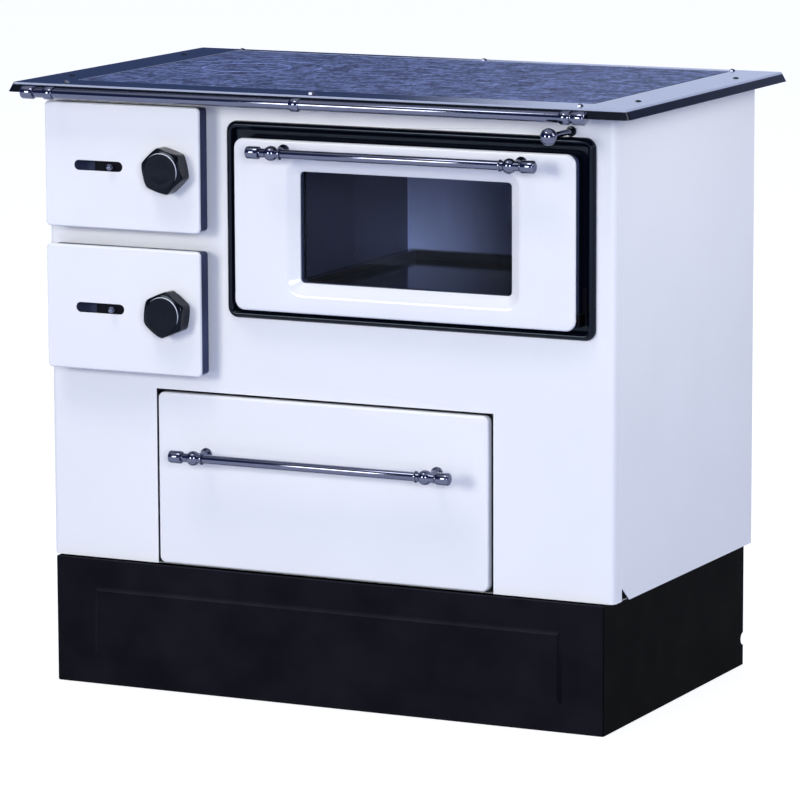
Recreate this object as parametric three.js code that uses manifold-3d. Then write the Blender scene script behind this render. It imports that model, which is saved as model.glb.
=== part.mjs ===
// Wood cookstove: enamelled sheet body on a plinth, two cast doors on the firebox side,
// a drop-down glazed oven door, a fuel drawer and a two-piece cooking plate with a lift-out hob.
// Millimetres, +Z up, the front faces -Y, +X is the viewer's right, origin on the floor
// below the middle of the stove.

import * as THREE from 'three';
import { mergeVertices } from 'three/addons/utils/BufferGeometryUtils.js';
import Module from 'manifold-3d';

const wasm = await Module();
wasm.setup();

// ---------------------------------------------------------------- driving dimensions

const SEAT_GAP = 0.3; // clearance kept between pieces that touch
const RUNNING_GAP = 0.6; // clearance round a pin or a spindle that turns
const SHEET = 1.5; // body and cover sheet

// overall
const WORKTOP_HEIGHT = 850;
const BODY_WIDTH = 862;
const BODY_DEPTH = 491;
const BODY_FRONT_Y = -238; // face of the front panel
const BODY_LAP = 1.6; // how far the side panels reach down over the plinth
const BODY_CORNER_RADIUS = 9;
const FRONT_RETURN = 26.3; // how far the front panel wraps round each side
const TOP_FLANGE = 36; // inward flange that carries the worktop frame
const SIDE_CLIP_WIDTH = 25; // clipped lower front corner of each side panel
const SIDE_CLIP_HEIGHT = 20;
const EDGE_FLANGE = 15;
const SHELF_BELOW_ASH_FLOOR = 28; // sheet between the drawer space and the fire side

// plinth
const PLINTH_INSET = 10.5; // plinth inside the body at each side
const PLINTH_PROUD = 11.5; // plinth in front of the front panel
const PLINTH_BACK_INSET = 2;
const PLINTH_HEIGHT = 179.3;
const PLINTH_SHEET = 2;
const PLINTH_FLANGE = 24;
const PLINTH_LIP = 8;
const PLINTH_RETURN = 20;
const FIELD_MARGIN_SIDE = 61; // raised field pressed into the plinth front
const FIELD_MARGIN_EDGE = 39;
const FIELD_RISE = 3;
const FIELD_SLOPE = 6;
const FIELD_CORNER_RADIUS = 3;
const NOTCH_HEIGHT = 38; // half-round notch at the back of each plinth side
const NOTCH_RADIUS = 9;

// worktop frame and cooking plates
const FRAME_OVERHANG_SIDE = 31;
const FRAME_OVERHANG_FRONT = 41;
const FRAME_OVERHANG_BACK = 26;
const FRAME_SKIRT_OUT = 7;
const FRAME_SKIRT_DROP = 13;
const FRAME_THICKNESS = 4;
const FRAME_CORNER_RADIUS = 4;
const FRAME_LEDGE = 10;
const RIM_SIDE = 69; // rim between the frame's edge and the plates
const RIM_FRONT = 59;
const RIM_BACK = 19;
const PLATE_THICKNESS = 8;
const PLATE_EDGE_GAP = 1.5;
const PLATE_BROKEN_EDGE = 1;
const RIGHT_PLATE_WIDTH = 159;
const PLATE_SPLIT_GAP = 0.6;
const PLATE_CORNER_RADIUS = 5;
const HOB_FROM_LEFT = 132; // hob centre from the plates' left and front edges
const HOB_FROM_FRONT = 257;
const HOB_RADIUS = 108.5;
const HOB_LID_RADIUS = 62.5;
const HOB_STEP = 9; // width of the seat under the ring and under the lid
const HOB_GAP = 0.5;
const HOB_SIDES = 40;
const LIFTER_RADIUS = 6;

// front rail
const RAIL_SHORTER = 11; // rail shorter than the body
const RAIL_CENTRE_X = -10.5;
const RAIL_FORWARD = 20; // rail axis in front of the frame
const RAIL_DROP = 11; // rail axis below the worktop
const RAIL_RADIUS = 7;
const RAIL_CAP_RADIUS = 9.2;
const BRACKET_FROM_LEFT_END = 43;
const BRACKET_FROM_RIGHT_END = 30;
const BRACKET_FROM_MIDDLE = -1.5;
const BRACKET_SLEEVE_LENGTH = 14;
const BRACKET_SLEEVE_WALL = 2;
const BRACKET_STRAP_WIDTH = 10;
const BRACKET_STRAP_THICKNESS = 4;
const RAIL_BOLT_FORWARD = 12; // bracket bolt in front of the front panel
const BOLT_HEAD_RADIUS = 7;
const BOLT_HEAD_HEIGHT = 4;
const BOLT_SHANK_RADIUS = 3.5;

// bar handles, the same on the oven door and the drawer
const BAR_RADIUS = 6.2;
const BAR_CAP_RADIUS = 8.7;
const CAP_LENGTH = 20;
const BAR_BALL_RADIUS = 10.3;
const HANDLE_FROM_DOOR_EDGE = 40; // bar's end from the edge of the oven door
const POST_FROM_HANDLE_END = 37.5;
const HANDLE_STANDOFF = 38;

// fire door and ash door
const DOOR_WIDTH = 242.4;
const DOOR_HEIGHT = 174.4;
const DOOR_FROM_SIDE = 14.6; // door's edge from the side of the body
const DOOR_BELOW_WORKTOP = 24.6;
const DOOR_SPACING = 24.2; // between the two doors
const DOOR_PROUD = 34; // face of the door in front of the panel
const DOOR_CORNER_RADIUS = 7;
const DOOR_BACK_GAP = 5.5;
const COVER_DEPTH = 4;
const COVER_ROLL = 3;
const DOOR_WALL = 5;
const DOOR_FRAME_INSET = 2;
const DOOR_BACK_WALL = 3;
const DOOR_PIVOT_INSET = 12.4;
const DOOR_PIVOT_DEPTH = 16;
const HINGE_ARM_FROM_EDGE = 30.2; // hinge arms from the door's upper and lower edge
const HINGE_ARM_HEIGHT = 10;
const HINGE_ARM_RADIUS = 4;
const HINGE_PIN_RADIUS = 2.5;
const HINGE_LUG_HEIGHT = 6;
const HINGE_LUG_REACH = 7;
const HINGE_STRAP_THICKNESS = 3;
const HINGE_STRAP_WIDTH = 16;
const HINGE_STRAP_END = 9; // strap past the middle of its last arm
const DOOR_OPENING_HINGE_MARGIN = 24.4;
const DOOR_OPENING_LATCH_MARGIN = 18;
const DOOR_OPENING_EDGE_MARGIN = 13;
const CASING_OPENING_STEP = 5;
const BAFFLE_CLEARANCE = 5;
const BAFFLE_THICKNESS = 12;
const BAFFLE_CORNER_RADIUS = 8;
const SLOT_LENGTH = 76;
const SLOT_HEIGHT = 14;
const SLOT_FROM_HINGE_EDGE = 84.6; // slot's middle from the door's hinge edge
const REGULATOR_SHIFT = 21.8; // air slide from the slot's middle, as it was left
const REGULATOR_LENGTH = 56;
const REGULATOR_HEIGHT = 22;
const REGULATOR_PIN_RADIUS = 2.5;
const REGULATOR_BALL_RADIUS = 4.3;
const REGULATOR_PROJECTION = 8; // ball's centre in front of the cover
const KNOB_FROM_LATCH_EDGE = 46; // knob axis from the door's latch edge
const KNOB_RADIUS = 33.5; // across corners
const KNOB_DEPTH = 28;
const KNOB_FACE_RADIUS = 26.5;
const KNOB_SOCKET_DEPTH = 14;
const FIRE_KNOB_TURN = 43; // degrees, as the two knobs were left
const ASH_KNOB_TURN = 23;
const SPINDLE_RADIUS = 5;
const LATCH_LENGTH = 38;
const LATCH_WIDTH = 13;
const LATCH_THICKNESS = 5;

// firebox side
const CASING_FROM_SIDE = 37; // casing's wall from the side of the body
const CASING_PAST_DOOR = 11; // casing's inner wall past the door's latch edge
const CASING_FROM_BACK = 38;
const CASING_WALL = 3;
const CASING_FRONT_WALL = 4;
const GRATE_SHELF_DROP = 22; // below the fire door's opening
const GRATE_SHELF_THICKNESS = 4;
const BRICK_THICKNESS = 24;
const BRICK_BELOW_WORKTOP = 50;
const BRICK_FROM_PANEL = 26;
const GRATE_THICKNESS = 16;
const GRATE_BARS = 13;
const GRATE_LEDGE = 12;
const GRATE_MARGIN = 18;
const GAS_PORT_DEPTH = 300;
const ASH_PAN_HEIGHT = 72;
const ASH_PAN_SIDE_CLEARANCE = 4;
const ASH_PAN_REAR_CLEARANCE = 10;
const ASH_PAN_GRIP_WIDTH = 80;
const ASH_PAN_GRIP_REACH = 14;
const ASH_PAN_GRIP_BAR = 6;

// oven
const PANEL_MARGIN = 27.25; // beside the surround: to the doors and to the side of the body
const SURROUND_HEIGHT = 272;
const SURROUND_BELOW_WORKTOP = 43;
const SURROUND_CORNER_RADIUS = 15;
const SURROUND_BEAD_WIDTH = 11;
const SURROUND_BEAD_RISE = 8;
const SURROUND_SHEET = 2;
const SURROUND_SUNK = 2; // floor of the channel round the oven door, behind the panel's face
const MOUTH_FROM_SIDE = 59.25; // oven's mouth from the surround's edges
const MOUTH_FROM_TOP = 35;
const MOUTH_FROM_BOTTOM = 31;
const OVEN_FROM_BACK = 45;
const OVEN_WALL = 3;
const OVEN_FLANGE = 15;
const TRAY_SIDE_CLEARANCE = 4;
const TRAY_FROM_PANEL = 41;
const TRAY_REAR_CLEARANCE = 2;
const TRAY_HEIGHT = 13;
const TRAY_RIM = 15;
const OVEN_DOOR_FROM_SIDE = 20.75; // oven door's edges from the surround's
const OVEN_DOOR_FROM_TOP = 21.05;
const OVEN_DOOR_FROM_BOTTOM = 14.45;
const OVEN_DOOR_PROUD = 24;
const OVEN_DOOR_THICKNESS = 21;
const OVEN_DOOR_CORNER_RADIUS = 14;
const OVEN_PIVOT_DEPTH = 11;
const WINDOW_FROM_SIDE = 96.5; // window's edges from the oven door's
const WINDOW_FROM_TOP = 42.9;
const WINDOW_FROM_BOTTOM = 40.9;
const WINDOW_CORNER_RADIUS = 6;
const WINDOW_BEVEL = 17;
const WINDOW_DISH = 11;
const GLASS_THICKNESS = 4;
const GLASS_LAP = 9;
const INNER_PANEL_THICKNESS = 8;
const OVEN_HANDLE_FROM_TOP = 14.25; // handle axis below the door's top
const OVEN_HINGE_PIN_RADIUS = 3;

// damper
const DAMPER_FROM_SIDE = 63.5;
const DAMPER_BELOW_WORKTOP = 35.6;
const DAMPER_PROJECTION = 74.5;
const DAMPER_BALL_RADIUS = 11.5;
const DAMPER_ROD_RADIUS = 4;
const DAMPER_BUSH_RADIUS = 7;
const DAMPER_FLAP_WIDTH = 62;
const DAMPER_FLAP_HEIGHT = 40;
const DAMPER_TRAVEL = 57; // the ball then stops short of the bush

// flue
const FLUE_FROM_SIDE = 181;
const FLUE_BELOW_WORKTOP = 160;
const FLUE_RADIUS = 60;
const FLUE_WALL = 3;
const FLUE_SIDES = 32;
const FLUE_FLANGE = 12;
const FLUE_FLANGE_THICKNESS = 4;
const FLUE_PROJECTION = 71;
const FLUE_BOX_WIDTH = 274;
const FLUE_BOX_FROM_SIDE = 7;

// fuel drawer
const DRAWER_FROM_LEFT = 173.5; // drawer face's edges from the sides of the body
const DRAWER_FROM_RIGHT = 183.5;
const DRAWER_BELOW_SHELF = 16;
const DRAWER_GAP_SIDE = 5.5; // between the face and its opening
const DRAWER_GAP_TOP = 3.5;
const DRAWER_GAP_BOTTOM = 2.7; // above the plinth
const DRAWER_PROUD = 6;
const DRAWER_FACE_DEPTH = 12;
const DRAWER_CORNER_RADIUS = 9;
const DRAWER_REAR_SPACE = 51.9; // behind the closed drawer
const DRAWER_BOX_RAISE = 5; // box above the face's lower edge
const DRAWER_BOX_DROP = 31.5; // box below the face's upper edge
const DRAWER_BOX_INSET = 10;
const DRAWER_HANDLE_FROM_TOP = 82.5;
const RUNNER_WIDTH = 20;
const RUNNER_GUIDE_HEIGHT = 24;
const RUNNER_SIDE_CLEARANCE = 2;

// ---------------------------------------------------------------- worked-out places

const bodyHalf = BODY_WIDTH / 2;
const bodyBackY = BODY_FRONT_Y + BODY_DEPTH;
const bodyBottom = PLINTH_HEIGHT - BODY_LAP;
const panelInnerY = BODY_FRONT_Y + SHEET;
const frameUnderside = WORKTOP_HEIGHT - PLATE_THICKNESS - SEAT_GAP * 2 - FRAME_THICKNESS;
const bodyTop = frameUnderside - SEAT_GAP;
const baseBottom = PLINTH_HEIGHT + SEAT_GAP;
const baseTop = baseBottom + SHEET;
const rearPanelY = bodyBackY - SHEET - SEAT_GAP - SHEET;

const plinthHalf = bodyHalf - PLINTH_INSET;
const plinthFrontY = BODY_FRONT_Y - PLINTH_PROUD;
const plinthBackY = bodyBackY - PLINTH_BACK_INSET;

const worktopOutline = {
  x0: -bodyHalf - FRAME_OVERHANG_SIDE,
  x1: bodyHalf + FRAME_OVERHANG_SIDE,
  z0: BODY_FRONT_Y - FRAME_OVERHANG_FRONT,
  z1: bodyBackY + FRAME_OVERHANG_BACK,
  radius: FRAME_CORNER_RADIUS,
  steps: 3,
};
const plateOpening = {
  x0: worktopOutline.x0 + RIM_SIDE,
  x1: worktopOutline.x1 - RIM_SIDE,
  z0: worktopOutline.z0 + RIM_FRONT,
  z1: worktopOutline.z1 - RIM_BACK,
  radius: PLATE_CORNER_RADIUS,
  steps: 3,
};
const plateSplitX = plateOpening.x1 - RIGHT_PLATE_WIDTH;
const hobX = plateOpening.x0 + HOB_FROM_LEFT;
const hobY = plateOpening.z0 + HOB_FROM_FRONT;

const railY = worktopOutline.z0 - RAIL_FORWARD;
const railZ = WORKTOP_HEIGHT - RAIL_DROP;
const railLength = BODY_WIDTH - RAIL_SHORTER;
const railBoltY = BODY_FRONT_Y - RAIL_BOLT_FORWARD;
const railBracketPlaces = {
  left: -railLength / 2 + BRACKET_FROM_LEFT_END,
  middle: BRACKET_FROM_MIDDLE,
  right: railLength / 2 - BRACKET_FROM_RIGHT_END,
};

const doorCentreX = -bodyHalf + DOOR_FROM_SIDE + DOOR_WIDTH / 2;
const doorLatchEdgeX = doorCentreX + DOOR_WIDTH / 2;
const fireDoorZ = WORKTOP_HEIGHT - DOOR_BELOW_WORKTOP - DOOR_HEIGHT / 2;
const ashDoorZ = fireDoorZ - DOOR_HEIGHT - DOOR_SPACING;
const doorFaceY = BODY_FRONT_Y - DOOR_PROUD;
const doorFrameDepth = DOOR_PROUD - DOOR_BACK_GAP;
const doorPivotX = doorCentreX - DOOR_WIDTH / 2 + DOOR_PIVOT_INSET;
const doorPivotY = doorFaceY + DOOR_PIVOT_DEPTH;
const doorOpening = {
  left: doorCentreX - DOOR_WIDTH / 2 + DOOR_OPENING_HINGE_MARGIN,
  right: doorLatchEdgeX - DOOR_OPENING_LATCH_MARGIN,
  halfHeight: DOOR_HEIGHT / 2 - DOOR_OPENING_EDGE_MARGIN,
};
const hingeArmOffset = DOOR_HEIGHT / 2 - HINGE_ARM_FROM_EDGE;
const knobOffset = DOOR_WIDTH / 2 - KNOB_FROM_LATCH_EDGE;
const slotCentre = SLOT_FROM_HINGE_EDGE - DOOR_WIDTH / 2;

const casingLeftX = -bodyHalf + CASING_FROM_SIDE;
const casingRightX = doorLatchEdgeX + CASING_PAST_DOOR;
const casingFrontY = panelInnerY + SEAT_GAP;
const casingBackY = bodyBackY - CASING_FROM_BACK;
const brickTop = WORKTOP_HEIGHT - BRICK_BELOW_WORKTOP;
const brickFrontY = BODY_FRONT_Y + BRICK_FROM_PANEL;
const grateShelfTop = fireDoorZ - doorOpening.halfHeight - GRATE_SHELF_DROP;
// level with the sill of the ash door's opening, so that the pan slides out
const ashFloorTop = ashDoorZ - doorOpening.halfHeight + CASING_OPENING_STEP + RUNNING_GAP;
const midShelfBottom = ashFloorTop - SHELF_BELOW_ASH_FLOOR;
const shelfTop = midShelfBottom + SHEET;

const surroundWidth = bodyHalf - doorLatchEdgeX - 2 * PANEL_MARGIN;
const ovenCentreX = bodyHalf - PANEL_MARGIN - surroundWidth / 2;
const surroundZ = WORKTOP_HEIGHT - SURROUND_BELOW_WORKTOP - SURROUND_HEIGHT / 2;
const surroundFloorY = BODY_FRONT_Y + SURROUND_SUNK;
const mouthWidth = surroundWidth - 2 * MOUTH_FROM_SIDE;
const mouthTop = surroundZ + SURROUND_HEIGHT / 2 - MOUTH_FROM_TOP;
const mouthBottom = surroundZ - SURROUND_HEIGHT / 2 + MOUTH_FROM_BOTTOM;
const mouthMiddle = (mouthBottom + mouthTop) / 2;
const mouthHeight = mouthTop - mouthBottom;
const ovenBoxFrontY = surroundFloorY + SURROUND_SHEET + SEAT_GAP;
const ovenBackY = bodyBackY - OVEN_FROM_BACK;
const ovenDoorWidth = surroundWidth - 2 * OVEN_DOOR_FROM_SIDE;
const ovenDoorHeight = SURROUND_HEIGHT - OVEN_DOOR_FROM_TOP - OVEN_DOOR_FROM_BOTTOM;
const ovenDoorZ = surroundZ + (OVEN_DOOR_FROM_BOTTOM - OVEN_DOOR_FROM_TOP) / 2;
const ovenDoorFaceY = BODY_FRONT_Y - OVEN_DOOR_PROUD;
const ovenPivotY = ovenDoorFaceY + OVEN_PIVOT_DEPTH;
const ovenPivotZ = ovenDoorZ - ovenDoorHeight / 2 + OVEN_PIVOT_DEPTH;
const handleLength = ovenDoorWidth - 2 * HANDLE_FROM_DOOR_EDGE;
const postSpacing = handleLength - 2 * POST_FROM_HANDLE_END;

const damperX = bodyHalf - DAMPER_FROM_SIDE;
const damperZ = WORKTOP_HEIGHT - DAMPER_BELOW_WORKTOP;
const flueX = bodyHalf - FLUE_FROM_SIDE;
const flueZ = WORKTOP_HEIGHT - FLUE_BELOW_WORKTOP;
const flueBoxRightX = bodyHalf - FLUE_BOX_FROM_SIDE;
const flueBoxFrontY = ovenBackY + SEAT_GAP;
const flueBoxBackY = rearPanelY - SEAT_GAP;

const drawerFace = {
  x0: -bodyHalf + DRAWER_FROM_LEFT,
  x1: bodyHalf - DRAWER_FROM_RIGHT,
  z0: PLINTH_HEIGHT + DRAWER_GAP_BOTTOM,
  z1: midShelfBottom - DRAWER_BELOW_SHELF - DRAWER_GAP_TOP,
};
const drawerCentreX = (drawerFace.x0 + drawerFace.x1) / 2;
const drawerFaceWidth = drawerFace.x1 - drawerFace.x0;
const drawerFaceY = BODY_FRONT_Y - DRAWER_PROUD;
const drawerBoxHalf = drawerFaceWidth / 2 - DRAWER_BOX_INSET;
const drawerBoxFrontY = drawerFaceY + SHEET + SEAT_GAP;
const drawerBoxDepth = rearPanelY - DRAWER_REAR_SPACE - drawerBoxFrontY;
const drawerBoxBottom = drawerFace.z0 + DRAWER_BOX_RAISE;

// ---------------------------------------------------------------- shape helpers

const radians = THREE.MathUtils.degToRad;

function toSolid(geometry) {
  const bare = geometry.clone();
  bare.deleteAttribute('normal');
  bare.deleteAttribute('uv');
  const merged = mergeVertices(bare, 1e-4);
  return new wasm.Manifold(new wasm.Mesh({
    numProp: 3,
    vertProperties: Float32Array.from(merged.attributes.position.array),
    triVerts: Uint32Array.from(merged.index.array),
  }));
}

function toGeometry(solid) {
  const mesh = solid.getMesh();
  const geometry = new THREE.BufferGeometry();
  geometry.setAttribute('position', new THREE.Float32BufferAttribute(mesh.vertProperties, 3));
  geometry.setIndex(Array.from(mesh.triVerts));
  return geometry;
}

function join(...geometries) {
  return toGeometry(geometries.map(toSolid).reduce((whole, next) => whole.add(next)));
}

function cut(body, ...tools) {
  return toGeometry(tools.map(toSolid).reduce((rest, tool) => rest.subtract(tool), toSolid(body)));
}

function common(first, second) {
  return toGeometry(toSolid(first).intersect(toSolid(second)));
}

// Box between two corners.
function block(x0, x1, y0, y1, z0, z1) {
  const box = new THREE.BoxGeometry(x1 - x0, y1 - y0, z1 - z0);
  return box.translate((x0 + x1) / 2, (y0 + y1) / 2, (z0 + z1) / 2);
}

// Cylinder along one axis, centred on a point.
function rod(axis, radius, length, centre, sides = 20) {
  const cylinder = new THREE.CylinderGeometry(radius, radius, length, sides);
  if (axis === 'x') cylinder.rotateZ(-Math.PI / 2);
  if (axis === 'z') cylinder.rotateX(Math.PI / 2);
  return cylinder.translate(...centre);
}

// Turned piece: [radius, station] pairs revolved about one axis.
function turned(axis, profile, sides = 20) {
  const points = profile.map(([radius, station]) => new THREE.Vector2(radius, station));
  const lathe = new THREE.LatheGeometry(points, sides);
  if (axis === 'x') lathe.rotateZ(-Math.PI / 2);
  if (axis === 'z') lathe.rotateX(Math.PI / 2);
  return facingOut(lathe);
}

// Stations of a ball on a turned profile, from one latitude to another.
function ballStations(radius, centre, from, to, steps) {
  return Array.from({ length: steps + 1 }, (_, step) => {
    const angle = radians(from + ((to - from) * step) / steps);
    return [radius * Math.cos(angle), centre + radius * Math.sin(angle)];
  });
}

// Turns faces outwards where the signed volume says that they point in.
function facingOut(geometry) {
  const merged = mergeVertices(stripped(geometry), 1e-4);
  const index = merged.index.array;
  const position = merged.attributes.position;
  const [a, b, c] = [new THREE.Vector3(), new THREE.Vector3(), new THREE.Vector3()];
  const kept = [];
  let volume = 0;
  for (let i = 0; i < index.length; i += 3) {
    const [p, q, r] = [index[i], index[i + 1], index[i + 2]];
    if (p === q || q === r || r === p) continue;
    kept.push([p, q, r]);
    a.fromBufferAttribute(position, p);
    b.fromBufferAttribute(position, q);
    c.fromBufferAttribute(position, r);
    volume += a.dot(b.cross(c));
  }
  merged.setIndex(kept.flatMap(([p, q, r]) => (volume < 0 ? [p, r, q] : [p, q, r])));
  return merged;
}

function stripped(geometry) {
  const bare = geometry.clone();
  bare.deleteAttribute('normal');
  bare.deleteAttribute('uv');
  return bare;
}

// Ring of points round a rounded rectangle, as seen from the front: x right, z up, y is depth.
function ring({ x0, x1, z0, z1, radius, y, steps = 4 }) {
  const corners = [[x1, z1, 0], [x0, z1, 90], [x0, z0, 180], [x1, z0, 270]];
  return corners.flatMap(([cornerX, cornerZ, start]) => {
    const centreX = cornerX + (cornerX === x1 ? -radius : radius);
    const centreZ = cornerZ + (cornerZ === z1 ? -radius : radius);
    return Array.from({ length: steps + 1 }, (_, step) => {
      const angle = radians(start + (90 * step) / steps);
      return [centreX + radius * Math.cos(angle), y, centreZ + radius * Math.sin(angle)];
    });
  });
}

// The same rectangle, drawn in (positive) or let out (negative) by an inset.
function insetRing(outline, inset, y) {
  return ring({
    x0: outline.x0 + inset,
    x1: outline.x1 - inset,
    z0: outline.z0 + inset,
    z1: outline.z1 - inset,
    radius: Math.max(outline.radius - inset, 0.8),
    steps: outline.steps,
    y,
  });
}

// Skin over a run of rings. A closed run joins its last ring to its first; an open one is capped.
function loft(rings, closed = false) {
  const count = rings[0].length;
  const index = [];
  const spans = closed ? rings.length : rings.length - 1;
  for (let span = 0; span < spans; span += 1) {
    const low = span * count;
    const high = ((span + 1) % rings.length) * count;
    for (let i = 0; i < count; i += 1) {
      const next = (i + 1) % count;
      index.push(low + i, low + next, high + next, low + i, high + next, high + i);
    }
  }
  if (!closed) {
    const last = (rings.length - 1) * count;
    for (let i = 1; i < count - 1; i += 1) {
      index.push(0, i + 1, i, last, last + i, last + i + 1);
    }
  }
  const geometry = new THREE.BufferGeometry();
  geometry.setAttribute('position', new THREE.Float32BufferAttribute(rings.flat(2), 3));
  geometry.setIndex(index);
  return facingOut(geometry);
}

// Rectangle outline about the local origin.
function outlineOf(width, height, radius, steps = 4, centreZ = 0) {
  return {
    x0: -width / 2, x1: width / 2, z0: centreZ - height / 2, z1: centreZ + height / 2, radius, steps,
  };
}

// [inset, depth behind the face] pairs of a rolled edge, from the face to the rim.
function rolledEdge(roll, steps = 3) {
  return Array.from({ length: steps + 1 }, (_, step) => {
    const angle = radians((90 * step) / steps);
    return [roll - roll * Math.sin(angle), roll - roll * Math.cos(angle)];
  });
}

// Pressed sheet cover: flat face at y = 0, rolled edge, open back.
function pressedCover(outline, roll, depth) {
  const outside = [...rolledEdge(roll), [0, depth]];
  const inside = [...rolledEdge(roll - SHEET)].map(([inset, y]) => [inset + SHEET, y + SHEET]);
  const path = [...outside, [SHEET, depth], ...inside.reverse()];
  return loft(path.map(([inset, y]) => insetRing(outline, inset, y)));
}

// Plate profile in plan, extruded upwards.
function upright(points, z0, z1) {
  const shape = new THREE.Shape(points.map(([x, y]) => new THREE.Vector2(x, y)));
  const wall = new THREE.ExtrudeGeometry(shape, { depth: z1 - z0, bevelEnabled: false });
  return wall.translate(0, 0, z0);
}

// Section drawn in x and z, run along y.
function sectionAlongY(points, y0, y1) {
  const shape = new THREE.Shape(points.map(([x, z]) => new THREE.Vector2(x, z)));
  const run = new THREE.ExtrudeGeometry(shape, { depth: y1 - y0, bevelEnabled: false });
  return facingOut(run.rotateX(Math.PI / 2).translate(0, y1, 0));
}

// ---------------------------------------------------------------- finishes and placing

function finish(color, roughness, metalness) {
  return { color, roughness, metalness };
}

const WHITE_ENAMEL = finish(0xeef0f4, 0.2, 0);
const BLACK_ENAMEL = finish(0x14141a, 0.25, 0);
const BLACK_PAINT = finish(0x1a1b22, 0.45, 0);
const SLATE_PAINT = finish(0x2f3446, 0.4, 0);
const CAST_IRON = finish(0x4a5068, 0.5, 0.7);
const DARK_IRON = finish(0x2b2b2e, 0.7, 0.5);
const CHROME = finish(0xd8dadf, 0.1, 1);
const STEEL = finish(0x9a9da3, 0.4, 1);
const ZINC_SHEET = finish(0xa9adb0, 0.45, 0.9);
const FIRECLAY = finish(0xc9a77c, 0.9, 0);
const BAKELITE = finish(0x101114, 0.12, 0);
const OVEN_GLASS = finish(0x6a7280, 0.05, 0);

function place(parent, name, geometry, look, position = [0, 0, 0]) {
  const mesh = new THREE.Mesh(geometry, new THREE.MeshStandardMaterial(look));
  mesh.name = name;
  mesh.position.set(...position);
  parent.add(mesh);
  return mesh;
}

function groupAt(parent, x, y, z) {
  const group = new THREE.Group();
  group.position.set(x, y, z);
  parent.add(group);
  return group;
}

// ---------------------------------------------------------------- plinth

function plinthFront() {
  const outline = {
    x0: -plinthHalf, x1: plinthHalf, z0: 0, z1: PLINTH_HEIGHT, radius: PLINTH_SHEET, steps: 2,
  };
  const field = {
    x0: -plinthHalf + FIELD_MARGIN_SIDE,
    x1: plinthHalf - FIELD_MARGIN_SIDE,
    z0: FIELD_MARGIN_EDGE,
    z1: PLINTH_HEIGHT - FIELD_MARGIN_EDGE,
    radius: FIELD_CORNER_RADIUS,
    steps: 2,
  };
  const board = loft([
    insetRing(field, FIELD_SLOPE, -FIELD_RISE),
    insetRing(field, 0, 0),
    insetRing(outline, 1, 0),
    insetRing(outline, 0, 1),
    insetRing(outline, 0, PLINTH_SHEET),
    insetRing(field, 0, PLINTH_SHEET),
    insetRing(field, FIELD_SLOPE, PLINTH_SHEET - FIELD_RISE),
  ]);
  const inside = plinthHalf - PLINTH_SHEET - SEAT_GAP;
  const lapStart = PLINTH_SHEET - 0.5;
  const returns = [-1, 1].map((side) => {
    const [a, b] = [side * inside, side * (inside - PLINTH_SHEET)].sort((p, q) => p - q);
    const bottom = PLINTH_SHEET + SEAT_GAP;
    return block(a, b, lapStart, PLINTH_RETURN, bottom, PLINTH_HEIGHT - bottom);
  });
  const lipTop = PLINTH_HEIGHT - 1;
  const lip = block(-inside, inside, lapStart, PLINTH_LIP, lipTop - PLINTH_SHEET, lipTop);
  return join(board, lip, ...returns);
}

function plinthSide(side) {
  const face = side * plinthHalf;
  const inner = side * (plinthHalf - PLINTH_SHEET);
  const flange = side * (plinthHalf - PLINTH_FLANGE);
  const section = [
    [face, 0], [flange, 0], [flange, PLINTH_SHEET], [inner, PLINTH_SHEET],
    [inner, PLINTH_HEIGHT - PLINTH_SHEET], [flange, PLINTH_HEIGHT - PLINTH_SHEET],
    [flange, PLINTH_HEIGHT], [face, PLINTH_HEIGHT],
  ];
  const front = plinthFrontY + PLINTH_SHEET + SEAT_GAP;
  const channel = sectionAlongY(section, front, plinthBackY);
  // the front corner of both flanges is cut away for the front board's return
  const cornerEnd = plinthFrontY + PLINTH_RETURN + SEAT_GAP;
  const [x0, x1] = [side * (plinthHalf - PLINTH_FLANGE - 1), inner].sort((p, q) => p - q);
  const corner = block(x0, x1, front - 1, cornerEnd, -1, PLINTH_HEIGHT + 1);
  const notch = rod('x', NOTCH_RADIUS, 10 * PLINTH_SHEET, [face, plinthBackY, NOTCH_HEIGHT], 16);
  return cut(channel, corner, notch);
}

function plinthRear() {
  const inside = plinthHalf - PLINTH_SHEET - SEAT_GAP;
  const y1 = plinthBackY - NOTCH_RADIUS - SEAT_GAP;
  const bottom = PLINTH_SHEET + SEAT_GAP;
  const web = block(-inside, inside, y1 - PLINTH_SHEET, y1, bottom, PLINTH_HEIGHT - bottom);
  const lapStart = y1 - PLINTH_SHEET - EDGE_FLANGE;
  const reach = plinthHalf - PLINTH_FLANGE - SEAT_GAP;
  const foot = block(-reach, reach, lapStart, y1 - 0.5, bottom, bottom + PLINTH_SHEET);
  return join(web, foot);
}

function addPlinth(stove) {
  place(stove, 'plinth_front', plinthFront(), BLACK_PAINT, [0, plinthFrontY, 0]);
  place(stove, 'plinth_side_left', plinthSide(-1), BLACK_PAINT);
  place(stove, 'plinth_side_right', plinthSide(1), BLACK_PAINT);
  place(stove, 'plinth_rear', plinthRear(), BLACK_PAINT);
}

// ---------------------------------------------------------------- body shell

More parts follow.
